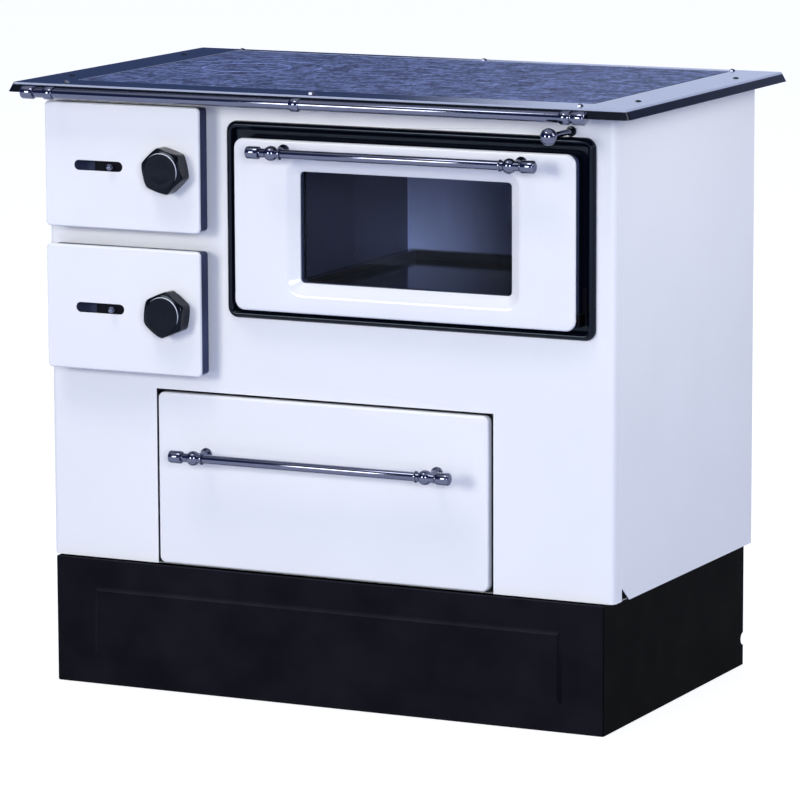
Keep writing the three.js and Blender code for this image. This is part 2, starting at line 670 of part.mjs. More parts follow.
// Plan of the front panel: face, rounded corners and the two side returns, one sheet thick.
function wrapPlan() {
  const returnEnd = BODY_FRONT_Y + FRONT_RETURN;
  const corner = (side, radius, from, to) => Array.from({ length: 7 }, (_, step) => {
    const angle = radians(from + ((to - from) * step) / 6);
    const centreX = bodyHalf - BODY_CORNER_RADIUS;
    const centreY = BODY_FRONT_Y + BODY_CORNER_RADIUS;
    return [side * (centreX + radius * Math.cos(angle)), centreY + radius * Math.sin(angle)];
  });
  const inner = BODY_CORNER_RADIUS - SHEET;
  return [
    [-bodyHalf, returnEnd],
    ...corner(-1, BODY_CORNER_RADIUS, 0, -90),
    ...corner(1, BODY_CORNER_RADIUS, -90, 0),
    [bodyHalf, returnEnd],
    [bodyHalf - SHEET, returnEnd],
    ...corner(1, inner, 0, -90),
    ...corner(-1, inner, -90, 0),
    [-bodyHalf + SHEET, returnEnd],
  ];
}

function frontOpening(x0, x1, z0, z1) {
  return block(x0, x1, BODY_FRONT_Y - 1, panelInnerY + 1, z0, z1);
}

function frontPanel() {
  const wrap = upright(wrapPlan(), baseBottom, bodyTop);
  const shelfEnd = bodyHalf - BODY_CORNER_RADIUS;
  const flangeBack = plateOpening.z0 + FRAME_LEDGE / 2;
  const topFlange = block(-shelfEnd, shelfEnd, panelInnerY - 0.5, flangeBack, bodyTop - SHEET, bodyTop);
  const doorways = [fireDoorZ, ashDoorZ].map((z) => frontOpening(
    doorOpening.left, doorOpening.right, z - doorOpening.halfHeight, z + doorOpening.halfHeight,
  ));
  const slotHalf = HINGE_ARM_RADIUS + RUNNING_GAP;
  const armHalf = HINGE_ARM_HEIGHT / 2 + RUNNING_GAP;
  const hingeSlots = hingeArmHeights().map((z) => frontOpening(
    doorPivotX - slotHalf, doorPivotX + slotHalf, z - armHalf, z + armHalf,
  ));
  const rim = SURROUND_BEAD_WIDTH;
  const ovenway = frontOpening(
    ovenCentreX - surroundWidth / 2 + rim,
    ovenCentreX + surroundWidth / 2 - rim,
    surroundZ - SURROUND_HEIGHT / 2 + rim,
    surroundZ + SURROUND_HEIGHT / 2 - rim,
  );
  const drawerway = frontOpening(
    drawerFace.x0 - DRAWER_GAP_SIDE, drawerFace.x1 + DRAWER_GAP_SIDE,
    bodyBottom - 1, drawerFace.z1 + DRAWER_GAP_TOP,
  );
  const bushHole = rod('y', damperNeck() + SEAT_GAP, 6, [damperX, BODY_FRONT_Y, damperZ], 12);
  return cut(join(wrap, topFlange), ...doorways, ...hingeSlots, ovenway, drawerway, bushHole);
}

function sidePanel(side) {
  const frontY = BODY_FRONT_Y + FRONT_RETURN + SEAT_GAP;
  const face = side * bodyHalf;
  const inner = side * (bodyHalf - SHEET);
  const flange = side * (bodyHalf - EDGE_FLANGE);
  const plan = [
    [face, frontY], [flange, frontY], [flange, frontY + SHEET], [inner, frontY + SHEET],
    [inner, bodyBackY - SHEET], [flange, bodyBackY - SHEET], [flange, bodyBackY], [face, bodyBackY],
  ];
  const wall = facingOut(upright(plan, bodyBottom, bodyTop));
  const shelfX = [side * (bodyHalf - TOP_FLANGE), side * (bodyHalf - SHEET / 2)].sort((p, q) => p - q);
  const topFlange = block(
    ...shelfX, frontY + SHEET / 2, bodyBackY - SHEET / 2, bodyTop - SHEET, bodyTop,
  );
  // clipped lower front corner: a three-sided cutter run through the sheet and its flange
  const clip = new THREE.Shape([
    new THREE.Vector2(frontY - SIDE_CLIP_WIDTH, bodyBottom - SIDE_CLIP_HEIGHT),
    new THREE.Vector2(frontY + 2 * SIDE_CLIP_WIDTH, bodyBottom - SIDE_CLIP_HEIGHT),
    new THREE.Vector2(frontY - SIDE_CLIP_WIDTH, bodyBottom + 2 * SIDE_CLIP_HEIGHT),
  ]);
  const cutter = new THREE.ExtrudeGeometry(clip, { depth: 2 * EDGE_FLANGE + 4, bevelEnabled: false });
  cutter.rotateX(Math.PI / 2).rotateZ(Math.PI / 2).translate(face - EDGE_FLANGE - 2, 0, 0);
  return cut(join(wall, topFlange), facingOut(cutter));
}

function rearPanel() {
  const half = bodyHalf - SHEET - SEAT_GAP;
  const top = bodyTop - SHEET - SEAT_GAP;
  const sheet = block(-half, half, rearPanelY, rearPanelY + SHEET, baseBottom, top);
  return cut(sheet, rod('y', FLUE_RADIUS + SEAT_GAP, 10, [flueX, rearPanelY, flueZ], FLUE_SIDES));
}

function addBody(stove) {
  const insideHalf = bodyHalf - SHEET - SEAT_GAP;
  const insideFront = BODY_FRONT_Y + SHEET + SEAT_GAP;
  const insideBack = rearPanelY - SEAT_GAP;
  place(stove, 'front_panel', frontPanel(), WHITE_ENAMEL);
  place(stove, 'side_panel_left', sidePanel(-1), WHITE_ENAMEL);
  place(stove, 'side_panel_right', sidePanel(1), WHITE_ENAMEL);
  place(stove, 'rear_panel', rearPanel(), ZINC_SHEET);
  const frontFlange = BODY_FRONT_Y + FRONT_RETURN + SEAT_GAP;
  const flangeHalf = bodyHalf - EDGE_FLANGE - SEAT_GAP;
  // both sheets are notched round the side panels' front flanges and the front panel's corners
  const tray = (z) => join(
    block(-flangeHalf, flangeHalf, insideFront, insideBack, z, z + SHEET),
    block(-insideHalf, insideHalf, frontFlange + SHEET + SEAT_GAP, insideBack, z, z + SHEET),
  );
  place(stove, 'base_panel', tray(baseBottom), ZINC_SHEET);
  place(stove, 'mid_shelf', tray(midShelfBottom), ZINC_SHEET);
}

// ---------------------------------------------------------------- worktop

// Rings of the worktop lie flat: the ring's up direction becomes +Y and its depth becomes height.
function flatten(rings) {
  return rings.map((points) => points.map(([x, height, y]) => [x, y, height]));
}

function topFrame() {
  const under = WORKTOP_HEIGHT - FRAME_THICKNESS;
  const skirtFoot = WORKTOP_HEIGHT - FRAME_SKIRT_DROP;
  const ledgeTop = frameUnderside + FRAME_THICKNESS;
  const skin = loft(flatten([
    insetRing(plateOpening, FRAME_LEDGE, ledgeTop),
    insetRing(plateOpening, 0, ledgeTop),
    insetRing(plateOpening, 0, WORKTOP_HEIGHT),
    insetRing(worktopOutline, 0, WORKTOP_HEIGHT),
    insetRing(worktopOutline, -FRAME_SKIRT_OUT, skirtFoot),
    insetRing(worktopOutline, -FRAME_SKIRT_OUT + 3, skirtFoot),
    insetRing(worktopOutline, 2, under),
    insetRing(plateOpening, -FRAME_THICKNESS, under),
    insetRing(plateOpening, -FRAME_THICKNESS, frameUnderside),
    insetRing(plateOpening, FRAME_LEDGE, frameUnderside),
  ]), true);
  const boltHoles = Object.values(railBracketPlaces).map((x) => rod(
    'z', BOLT_SHANK_RADIUS + SEAT_GAP, 3 * FRAME_THICKNESS,
    [RAIL_CENTRE_X + x, railBoltY, WORKTOP_HEIGHT - FRAME_THICKNESS / 2], 12,
  ));
  return cut(skin, ...boltHoles);
}

function plateBlank(x0, x1) {
  const blank = { ...plateOpening, x0, x1 };
  const top = WORKTOP_HEIGHT - SEAT_GAP;
  const bottom = top - PLATE_THICKNESS;
  return loft(flatten([
    insetRing(blank, PLATE_EDGE_GAP + PLATE_BROKEN_EDGE, top),
    insetRing(blank, PLATE_EDGE_GAP, top - PLATE_BROKEN_EDGE),
    insetRing(blank, PLATE_EDGE_GAP, bottom),
  ]));
}

// Turned step seat: [outer radius, inner radius] of a disc that drops into a ring or a plate.
function stepDisc(outer, inner, gap) {
  const mid = -PLATE_THICKNESS / 2;
  const [rim, foot] = [outer - gap, inner - gap];
  return [[rim, 0], [rim, mid + gap], [foot, mid + gap], [foot, -PLATE_THICKNESS]];
}

function seatCutter(outer, inner) {
  const over = PLATE_THICKNESS;
  const mid = -PLATE_THICKNESS / 2;
  return turned('z', [
    [0, over], [outer, over], [outer, mid], [inner, mid], [inner, -2 * PLATE_THICKNESS],
    [0, -2 * PLATE_THICKNESS],
  ], HOB_SIDES);
}

function hobRing() {
  const outside = stepDisc(HOB_RADIUS, HOB_RADIUS - HOB_STEP, HOB_GAP);
  const disc = turned('z', [[0, 0], ...outside, [0, -PLATE_THICKNESS]], HOB_SIDES);
  const lifter = rod('z', LIFTER_RADIUS, 30, [0, HOB_RADIUS, 0], 12);
  return cut(disc, seatCutter(HOB_LID_RADIUS, HOB_LID_RADIUS - HOB_STEP), lifter);
}

function hobLid() {
  const outside = stepDisc(HOB_LID_RADIUS, HOB_LID_RADIUS - HOB_STEP, HOB_GAP);
  const disc = turned('z', [[0, 0], ...outside, [0, -PLATE_THICKNESS]], HOB_SIDES);
  const lifter = rod('z', LIFTER_RADIUS, 30, [0, HOB_LID_RADIUS - 2 * HOB_STEP, 0], 12);
  return cut(disc, lifter);
}

function addWorktop(stove) {
  place(stove, 'top_frame', topFrame(), BLACK_ENAMEL);
  const top = WORKTOP_HEIGHT - SEAT_GAP;
  const half = PLATE_SPLIT_GAP / 2 - PLATE_EDGE_GAP;
  const leftPlate = plateBlank(plateOpening.x0, plateSplitX - half);
  const seat = seatCutter(HOB_RADIUS, HOB_RADIUS - HOB_STEP).translate(hobX, hobY, top);
  place(stove, 'cooking_plate_left', cut(leftPlate, seat), CAST_IRON);
  place(stove, 'cooking_plate_right', plateBlank(plateSplitX + half, plateOpening.x1), CAST_IRON);
  place(stove, 'hob_ring', hobRing(), CAST_IRON, [hobX, hobY, top]);
  place(stove, 'hob_lid', hobLid(), CAST_IRON, [hobX, hobY, top]);
}

// ---------------------------------------------------------------- bar handles and front rail

// Bar with turned end caps, along x about the local origin, necked beside each cap.
function bar(length, radius, capRadius) {
  const end = length / 2;
  const cap = end - CAP_LENGTH;
  const neck = radius - 1.2;
  const half = [
    [0, end], [capRadius - 2.4, end], [capRadius, end - 2.4], [capRadius, cap + 1.5],
    [neck, cap], [neck, cap - 2], [radius, cap - 2.6],
  ];
  const mirrored = half.map(([reach, station]) => [reach, -station]).reverse();
  return turned('x', [...half, ...mirrored].reverse(), 12);
}

// Post from a face at y = 0 out to the bar at y = -HANDLE_STANDOFF: rosette, stem and bored ball.
function handlePost() {
  const stem = BAR_RADIUS - 1.7;
  const ballStart = 90 - THREE.MathUtils.radToDeg(Math.asin(stem / BAR_BALL_RADIUS));
  const profile = [
    [0, 0], [BAR_CAP_RADIUS, 0], [BAR_CAP_RADIUS, 2], [BAR_CAP_RADIUS - 1.5, 4.5],
    [stem + 1, 6], [stem, 8],
    ...ballStations(BAR_BALL_RADIUS, HANDLE_STANDOFF, -ballStart, 90, 6),
  ];
  const post = turned('y', profile.map(([radius, depth]) => [radius, -depth]), 12);
  const bore = rod('x', BAR_RADIUS + SEAT_GAP, 4 * BAR_BALL_RADIUS, [0, -HANDLE_STANDOFF, 0], 12);
  return cut(post, bore);
}

function addHandle(parent, prefix, x, faceY, z) {
  const handle = groupAt(parent, x, faceY - SEAT_GAP, z);
  const half = postSpacing / 2;
  const grip = bar(handleLength, BAR_RADIUS, BAR_CAP_RADIUS);
  place(handle, `${prefix}_handle_bar`, grip, CHROME, [0, -HANDLE_STANDOFF, 0]);
  place(handle, `${prefix}_handle_post_left`, handlePost(), CHROME, [-half, 0, 0]);
  place(handle, `${prefix}_handle_post_right`, handlePost(), CHROME, [half, 0, 0]);
}

// Bracket: sleeve round the rail, strap under the skirt, pillar and a bolt up through the rim.
function railBracket() {
  const bore = RAIL_RADIUS + SEAT_GAP;
  const sleeveHalf = BRACKET_SLEEVE_LENGTH / 2;
  const wide = bore + BRACKET_SLEEVE_WALL;
  const narrow = bore + BRACKET_SLEEVE_WALL / 2;
  const sleeve = turned('x', [
    [0, -sleeveHalf], [narrow, -sleeveHalf], [wide, -sleeveHalf / 2],
    [wide, sleeveHalf / 2], [narrow, sleeveHalf], [0, sleeveHalf],
  ], 12);
  const boltY = railBoltY - railY;
  const skirtFoot = WORKTOP_HEIGHT - FRAME_SKIRT_DROP - railZ;
  const strapTop = skirtFoot - 2 * SEAT_GAP;
  const strapBottom = strapTop - BRACKET_STRAP_THICKNESS;
  const strapHalf = BRACKET_STRAP_WIDTH / 2;
  const strap = block(-strapHalf, strapHalf, strapHalf, boltY + strapHalf, strapBottom, strapTop);
  const rimUnder = WORKTOP_HEIGHT - FRAME_THICKNESS - railZ - SEAT_GAP;
  const rimTop = WORKTOP_HEIGHT - railZ + SEAT_GAP;
  const headTop = rimTop + BOLT_HEAD_HEIGHT;
  const bolt = turned('z', [
    [0, headTop], [BOLT_HEAD_RADIUS * 0.5, headTop], [BOLT_HEAD_RADIUS * 0.85, headTop - 1.2],
    [BOLT_HEAD_RADIUS, rimTop + 1], [BOLT_HEAD_RADIUS, rimTop], [BOLT_SHANK_RADIUS, rimTop],
    [BOLT_SHANK_RADIUS, rimUnder], [BOLT_SHANK_RADIUS + 2, rimUnder],
    [BOLT_SHANK_RADIUS + 2, strapBottom], [0, strapBottom],
  ], 12).translate(0, boltY, 0);
  return cut(join(sleeve, strap, bolt), rod('x', bore, 4 * sleeveHalf, [0, 0, 0], 12));
}

function addRail(stove) {
  const rail = groupAt(stove, RAIL_CENTRE_X, railY, railZ);
  place(rail, 'rail_bar', bar(railLength, RAIL_RADIUS, RAIL_CAP_RADIUS), CHROME);
  for (const [side, x] of Object.entries(railBracketPlaces)) {
    place(rail, `rail_bracket_${side}`, railBracket(), CHROME, [x, 0, 0]);
  }
}

// ---------------------------------------------------------------- fire door and ash door

function hingeArmHeights() {
  return [fireDoorZ, ashDoorZ].flatMap((z) => [z - hingeArmOffset, z + hingeArmOffset]);
}

// Local frames of both doors: origin in the middle of the face, y goes back into the stove.
const doorOutline = outlineOf(DOOR_WIDTH, DOOR_HEIGHT, DOOR_CORNER_RADIUS, 3);
const pivotU = -DOOR_WIDTH / 2 + DOOR_PIVOT_INSET;

// Cutter for the hole that the knob's spindle turns in, between two depths.
function spindleBore(front, back) {
  const middle = (front + back) / 2;
  return rod('y', SPINDLE_RADIUS + RUNNING_GAP, back - front, [knobOffset, middle, 0], 16);
}

function slotCutter() {
  const straight = SLOT_LENGTH - SLOT_HEIGHT;
  const half = SLOT_HEIGHT / 2;
  const ends = [-1, 1].map((side) => rod(
    'y', half, 4 * COVER_DEPTH, [slotCentre + (side * straight) / 2, 0, 0], 16,
  ));
  const x0 = slotCentre - straight / 2;
  return join(block(x0, x0 + straight, -2 * COVER_DEPTH, 2 * COVER_DEPTH, -half, half), ...ends);
}

function doorCover() {
  const spindleHole = spindleBore(-COVER_DEPTH, COVER_DEPTH);
  return cut(pressedCover(doorOutline, COVER_ROLL, COVER_DEPTH), slotCutter(), spindleHole);
}

// Cast tray behind the cover, with the lugs that turn on the hinge pins.
function doorFrame() {
  const rim = DOOR_FRAME_INSET;
  const lip = rim + 2;
  const front = SHEET + SEAT_GAP;
  const back = doorFrameDepth;
  const floor = back - DOOR_BACK_WALL;
  const tray = loft([
    insetRing(doorOutline, rim + 2, back),
    insetRing(doorOutline, rim, back - 2),
    insetRing(doorOutline, rim, COVER_DEPTH + SEAT_GAP),
    insetRing(doorOutline, lip, COVER_DEPTH + SEAT_GAP),
    insetRing(doorOutline, lip, front),
    insetRing(doorOutline, rim + DOOR_WALL, front),
    insetRing(doorOutline, rim + DOOR_WALL, floor),
  ]);
  const wallInside = -DOOR_WIDTH / 2 + rim + DOOR_WALL;
  const armHalf = HINGE_ARM_HEIGHT / 2 + RUNNING_GAP;
  const lugs = [];
  const cutters = [];
  for (const z of [-hingeArmOffset, hingeArmOffset]) {
    const outerHalf = armHalf + HINGE_LUG_HEIGHT;
    const lugFront = DOOR_PIVOT_DEPTH - HINGE_LUG_REACH;
    lugs.push(block(
      wallInside - 1, pivotU + HINGE_LUG_REACH, lugFront, floor + 1, z - outerHalf, z + outerHalf,
    ));
    const armSide = pivotU + HINGE_ARM_RADIUS + 3;
    cutters.push(block(
      -DOOR_WIDTH / 2 - 1, armSide, COVER_DEPTH + 2, back + 1, z - armHalf, z + armHalf,
    ));
    const pinBore = HINGE_PIN_RADIUS + RUNNING_GAP;
    cutters.push(rod('z', pinBore, 2 * outerHalf + 2, [pivotU, DOOR_PIVOT_DEPTH, z], 8));
  }
  const spindleHole = spindleBore(0, back + DOOR_BACK_WALL);
  return cut(join(tray, ...lugs), ...cutters, spindleHole);
}

function baffleOutline() {
  const shrink = CASING_OPENING_STEP + BAFFLE_CLEARANCE;
  return {
    x0: doorOpening.left - doorCentreX + shrink,
    x1: doorOpening.right - doorCentreX - shrink,
    z0: -doorOpening.halfHeight + shrink,
    z1: doorOpening.halfHeight - shrink,
    radius: BAFFLE_CORNER_RADIUS,
    steps: 3,
  };
}

// Cast heat shield on the back of the fire door, dished towards the fire.
function doorBaffle() {
  const outline = baffleOutline();
  const front = doorFrameDepth + SEAT_GAP;
  const back = front + BAFFLE_THICKNESS;
  const slab = loft([
    insetRing(outline, 0, front),
    insetRing(outline, 0, back - 3),
    insetRing(outline, 4, back),
  ]);
  return cut(slab, spindleBore(0, back + BAFFLE_THICKNESS));
}

// Moulded hexagonal knob with a turned chamfer and a shallow dome.
function doorKnob() {
  const hexagon = new THREE.CylinderGeometry(KNOB_RADIUS, KNOB_RADIUS, KNOB_DEPTH + 4, 6);
  hexagon.translate(0, -KNOB_DEPTH / 2, 0);
  const chamfer = KNOB_RADIUS - KNOB_FACE_RADIUS;
  const envelope = turned('y', [
    [0, 0], [KNOB_RADIUS - 2, 0], [KNOB_RADIUS, -2], [KNOB_RADIUS, -KNOB_DEPTH + chamfer * 0.8],
    [KNOB_FACE_RADIUS, -KNOB_DEPTH + 1], [KNOB_FACE_RADIUS * 0.6, -KNOB_DEPTH + 0.3], [0, -KNOB_DEPTH],
  ], 24);
  const socket = rod('y', SPINDLE_RADIUS + SEAT_GAP, 2 * KNOB_SOCKET_DEPTH, [0, 0, 0], 16);
  return cut(common(hexagon, envelope), socket);
}

// Spindle with its latch tongue, hanging down when the door is unlatched.
function doorLatch() {
  const tongueFront = DOOR_PROUD - DOOR_BACK_GAP + SEAT_GAP + BAFFLE_THICKNESS + SEAT_GAP;
  const tongueBack = tongueFront + LATCH_THICKNESS;
  const nose = -KNOB_SOCKET_DEPTH + 1;
  const shaft = rod('y', SPINDLE_RADIUS, tongueBack - nose, [0, (tongueBack + nose) / 2, 0], 16);
  const half = LATCH_WIDTH / 2;
  const tongue = loft([
    insetRing({ x0: -half, x1: half, z0: -LATCH_LENGTH, z1: half + 1, radius: 5, steps: 3 }, 0, tongueFront),
    insetRing({ x0: -half, x1: half, z0: -LATCH_LENGTH, z1: half + 1, radius: 5, steps: 3 }, 0, tongueBack),
  ]);
  return join(shaft, tongue);
}

// Air slide: plate behind the cover with a ball-headed pin through the slot.
function airRegulator() {
  const front = SHEET + SEAT_GAP;
  const plate = block(
    -REGULATOR_LENGTH / 2, REGULATOR_LENGTH / 2, front, front + SHEET,
    -REGULATOR_HEIGHT / 2, REGULATOR_HEIGHT / 2,
  );
  const ball = ballStations(REGULATOR_BALL_RADIUS, REGULATOR_PROJECTION, -54, 90, 5);
  const pin = turned('y', [
    [0, front + 0.5], [REGULATOR_PIN_RADIUS, front + 0.5],
    [REGULATOR_PIN_RADIUS, -REGULATOR_PROJECTION / 2],
    ...ball.map(([radius, depth]) => [radius, -depth]),
  ], 12);
  return join(plate, pin);
}

function addDoor(stove, prefix, z, knobTurn, baffle) {
  const door = groupAt(stove, doorCentreX, doorFaceY, z);
  place(door, `${prefix}_door_cover`, doorCover(), WHITE_ENAMEL);
  place(door, `${prefix}_door_frame`, doorFrame(), SLATE_PAINT);
  if (baffle) place(door, `${prefix}_door_baffle`, doorBaffle(), DARK_IRON);
  place(door, `${prefix}_air_regulator`, airRegulator(), CHROME, [slotCentre + REGULATOR_SHIFT, 0, 0]);
  const knobAxis = groupAt(door, knobOffset, 0, 0);
  const knob = place(knobAxis, `${prefix}_door_knob`, doorKnob(), BAKELITE, [0, -SEAT_GAP, 0]);
  knob.rotation.y = -radians(knobTurn - 30);
  place(knobAxis, `${prefix}_door_latch`, doorLatch(), STEEL);
}

// One strap behind the front panel carries the four hinge arms and their pins.
function hingeStrap() {
  const front = panelInnerY + SEAT_GAP;
  const heights = hingeArmHeights();
  const strap = block(
    doorPivotX - HINGE_STRAP_WIDTH / 2, doorPivotX + HINGE_STRAP_WIDTH / 2,
    front, front + HINGE_STRAP_THICKNESS,
    Math.min(...heights) - HINGE_STRAP_END, Math.max(...heights) + HINGE_STRAP_END,
  );
  const pinLength = HINGE_ARM_HEIGHT + 2 * (RUNNING_GAP + HINGE_LUG_HEIGHT);
  const arms = heights.flatMap((z) => {
    const half = HINGE_ARM_HEIGHT / 2;
    const reach = HINGE_ARM_RADIUS;
    return [
      block(doorPivotX - reach, doorPivotX + reach, doorPivotY, front + 1, z - half, z + half),
      rod('z', reach, HINGE_ARM_HEIGHT, [doorPivotX, doorPivotY, z], 12),
      rod('z', HINGE_PIN_RADIUS, pinLength, [doorPivotX, doorPivotY, z], 8),
    ];
  });
  return join(strap, ...arms);
}

function addDoors(stove) {
  addDoor(stove, 'fire', fireDoorZ, FIRE_KNOB_TURN, true);
  addDoor(stove, 'ash', ashDoorZ, ASH_KNOB_TURN, false);
  place(stove, 'door_hinge_strap', hingeStrap(), STEEL);
}

// ---------------------------------------------------------------- firebox

function fireboxCasing() {
  const inLeft = casingLeftX + CASING_WALL;
  const inRight = casingRightX - CASING_WALL;
  const inFront = casingFrontY + CASING_FRONT_WALL;
  const inBack = casingBackY - CASING_WALL;
  const top = bodyTop - SHEET - SEAT_GAP;
  const shell = block(casingLeftX, casingRightX, casingFrontY, casingBackY, shelfTop + SEAT_GAP, top);
  const shelfUnder = grateShelfTop - GRATE_SHELF_THICKNESS;
  const floorUnder = ashFloorTop - CASING_WALL;
  const holeInset = BRICK_THICKNESS - GRATE_LEDGE + 2 * GRATE_LEDGE;
  const doorways = [fireDoorZ, ashDoorZ].map((z) => {
    const half = doorOpening.halfHeight - CASING_OPENING_STEP;
    return block(
      doorOpening.left + CASING_OPENING_STEP, doorOpening.right - CASING_OPENING_STEP,
      casingFrontY - 1, inFront + 1, z - half, z + half,
    );
  });
  return cut(
    shell,
    block(inLeft, inRight, inFront, inBack, grateShelfTop, top + 1),
    block(inLeft, inRight, inFront, inBack, ashFloorTop, shelfUnder),
    block(inLeft, inRight, inFront, inBack, shelfTop - 1, floorUnder),
    block(
      inLeft + holeInset, inRight - holeInset, brickFrontY + GRATE_LEDGE, inBack - holeInset,
      shelfUnder - 1, grateShelfTop + 1,
    ),
    block(inRight - 1, casingRightX + 1, -GAS_PORT_DEPTH / 2, GAS_PORT_DEPTH / 2, brickTop, top + 1),
    ...doorways,
  );
}

function grate() {
  const inLeft = casingLeftX + CASING_WALL + BRICK_THICKNESS + SEAT_GAP * 2;
  const inRight = casingRightX - CASING_WALL - BRICK_THICKNESS - SEAT_GAP * 2;
  const y1 = casingBackY - CASING_WALL - BRICK_THICKNESS - SEAT_GAP * 2;
  const plate = new THREE.Shape([
    new THREE.Vector2(inLeft, brickFrontY),
    new THREE.Vector2(inRight, brickFrontY),
    new THREE.Vector2(inRight, y1),
    new THREE.Vector2(inLeft, y1),
  ]);
  const pitch = (inRight - inLeft - 2 * GRATE_MARGIN) / GRATE_BARS;
  const slotWidth = pitch * 0.5;
  for (let bay = 0; bay < GRATE_BARS; bay += 1) {
    const x = inLeft + GRATE_MARGIN + pitch * (bay + 0.5);
    const slot = new THREE.Path();
    slot.absarc(x, y1 - GRATE_MARGIN - slotWidth / 2, slotWidth / 2, 0, Math.PI);
    slot.absarc(x, brickFrontY + GRATE_MARGIN + slotWidth / 2, slotWidth / 2, Math.PI, 2 * Math.PI);
    plate.holes.push(slot);
  }
  const options = { depth: GRATE_THICKNESS, bevelEnabled: false, curveSegments: 2 };
  return new THREE.ExtrudeGeometry(plate, options);
}

function ashPan() {
  const half = (doorOpening.right - doorOpening.left) / 2 - CASING_OPENING_STEP - ASH_PAN_SIDE_CLEARANCE;
  const depth = casingBackY - CASING_WALL - ASH_PAN_REAR_CLEARANCE - brickFrontY;
  const shell = block(-half, half, 0, depth, 0, ASH_PAN_HEIGHT);
  const hollow = block(
    -half + SHEET, half - SHEET, SHEET, depth - SHEET, SHEET, ASH_PAN_HEIGHT + 1,
  );
  const bar = ASH_PAN_GRIP_BAR;
  const reach = ASH_PAN_GRIP_REACH;
  const gripHalf = ASH_PAN_GRIP_WIDTH / 2;
  const gripPart = (x0, x1, y1) => block(
    x0, x1, -reach, y1, (ASH_PAN_HEIGHT - bar) / 2, (ASH_PAN_HEIGHT + bar) / 2,
  );
  const grip = join(
    gripPart(-gripHalf, bar - gripHalf, 0.5),
    gripPart(gripHalf - bar, gripHalf, 0.5),
    gripPart(-gripHalf, gripHalf, bar - reach),
  );
  return join(cut(shell, hollow), grip);
}

function addFirebox(stove) {
  place(stove, 'firebox_casing', fireboxCasing(), DARK_IRON);
  const inLeft = casingLeftX + CASING_WALL + SEAT_GAP;
  const inRight = casingRightX - CASING_WALL - SEAT_GAP;
  const inBack = casingBackY - CASING_WALL - SEAT_GAP;
  const floor = grateShelfTop + SEAT_GAP;
  const rearFront = inBack - BRICK_THICKNESS;
  const wallBrick = (x0, x1) => block(x0, x1, brickFrontY, rearFront - SEAT_GAP, floor, brickTop);
  place(stove, 'firebrick_left', wallBrick(inLeft, inLeft + BRICK_THICKNESS), FIRECLAY);
  place(stove, 'firebrick_right', wallBrick(inRight - BRICK_THICKNESS, inRight), FIRECLAY);
  place(stove, 'firebrick_rear', block(inLeft, inRight, rearFront, inBack, floor, brickTop), FIRECLAY);
  place(stove, 'grate', grate(), DARK_IRON, [0, 0, floor]);
  const panX = (doorOpening.left + doorOpening.right) / 2;
  place(stove, 'ash_pan', ashPan(), ZINC_SHEET, [panX, brickFrontY, ashFloorTop + SEAT_GAP]);
}

// ---------------------------------------------------------------- oven

// Black surround: a rounded bead on the panel, a channel round the door, a mouth into the oven.
function ovenSurround() {
  const outline = outlineOf(surroundWidth, SURROUND_HEIGHT, SURROUND_CORNER_RADIUS, 4, surroundZ);
  const mouth = outlineOf(mouthWidth, mouthHeight, 4, 4, mouthMiddle);
  const seat = BODY_FRONT_Y - SEAT_GAP;
  const bead = (step) => {
    const angle = radians((180 * step) / 6);
    const half = SURROUND_BEAD_WIDTH / 2;
    return [half - half * Math.cos(angle), seat - 1 - (SURROUND_BEAD_RISE - 1) * Math.sin(angle)];
  };
  const crest = [0, 1, 2, 3, 4, 5, 6].map(bead);
  const channelEdge = SURROUND_BEAD_WIDTH + SEAT_GAP + 0.4;
  const back = surroundFloorY + SURROUND_SHEET;
  const path = [
    [0, seat],
    ...crest,
    [channelEdge + 1, surroundFloorY],
  ].map(([inset, y]) => insetRing(outline, inset, y));
  return loft([
    ...path,
    insetRing(mouth, 0, surroundFloorY),
    insetRing(mouth, 0, back),
    insetRing(outline, channelEdge, back),
    insetRing(outline, channelEdge, seat),
  ], true);
}

function ovenBox() {
  const half = mouthWidth / 2;
  const wall = OVEN_WALL;
  const shell = block(
    -half - wall, half + wall, ovenBoxFrontY, ovenBackY,
    mouthBottom - wall, mouthTop + wall,
  );
  const reach = wall + OVEN_FLANGE;
  const flange = block(
    -half - reach, half + reach, ovenBoxFrontY, ovenBoxFrontY + SHEET,
    mouthBottom - reach, mouthTop + reach,
  );
  const cavity = block(-half, half, ovenBoxFrontY - 1, ovenBackY - wall, mouthBottom, mouthTop);
  return cut(join(shell, flange), cavity);
}

// Enamelled tray on the oven's floor, about the middle of its own bottom.
function ovenTray(depth) {
  const outline = outlineOf(mouthWidth - 2 * TRAY_SIDE_CLEARANCE, depth, 8, 3);
  return loft(flatten([
    insetRing(outline, TRAY_RIM + SHEET, SHEET),
    insetRing(outline, TRAY_RIM, TRAY_HEIGHT),
    insetRing(outline, 1, TRAY_HEIGHT),
    insetRing(outline, 0, TRAY_HEIGHT - 2),
    insetRing(outline, 1.5, TRAY_HEIGHT - 2),
    insetRing(outline, TRAY_RIM - SHEET, TRAY_HEIGHT - SHEET),
    insetRing(outline, TRAY_RIM, 0),
  ]));
}

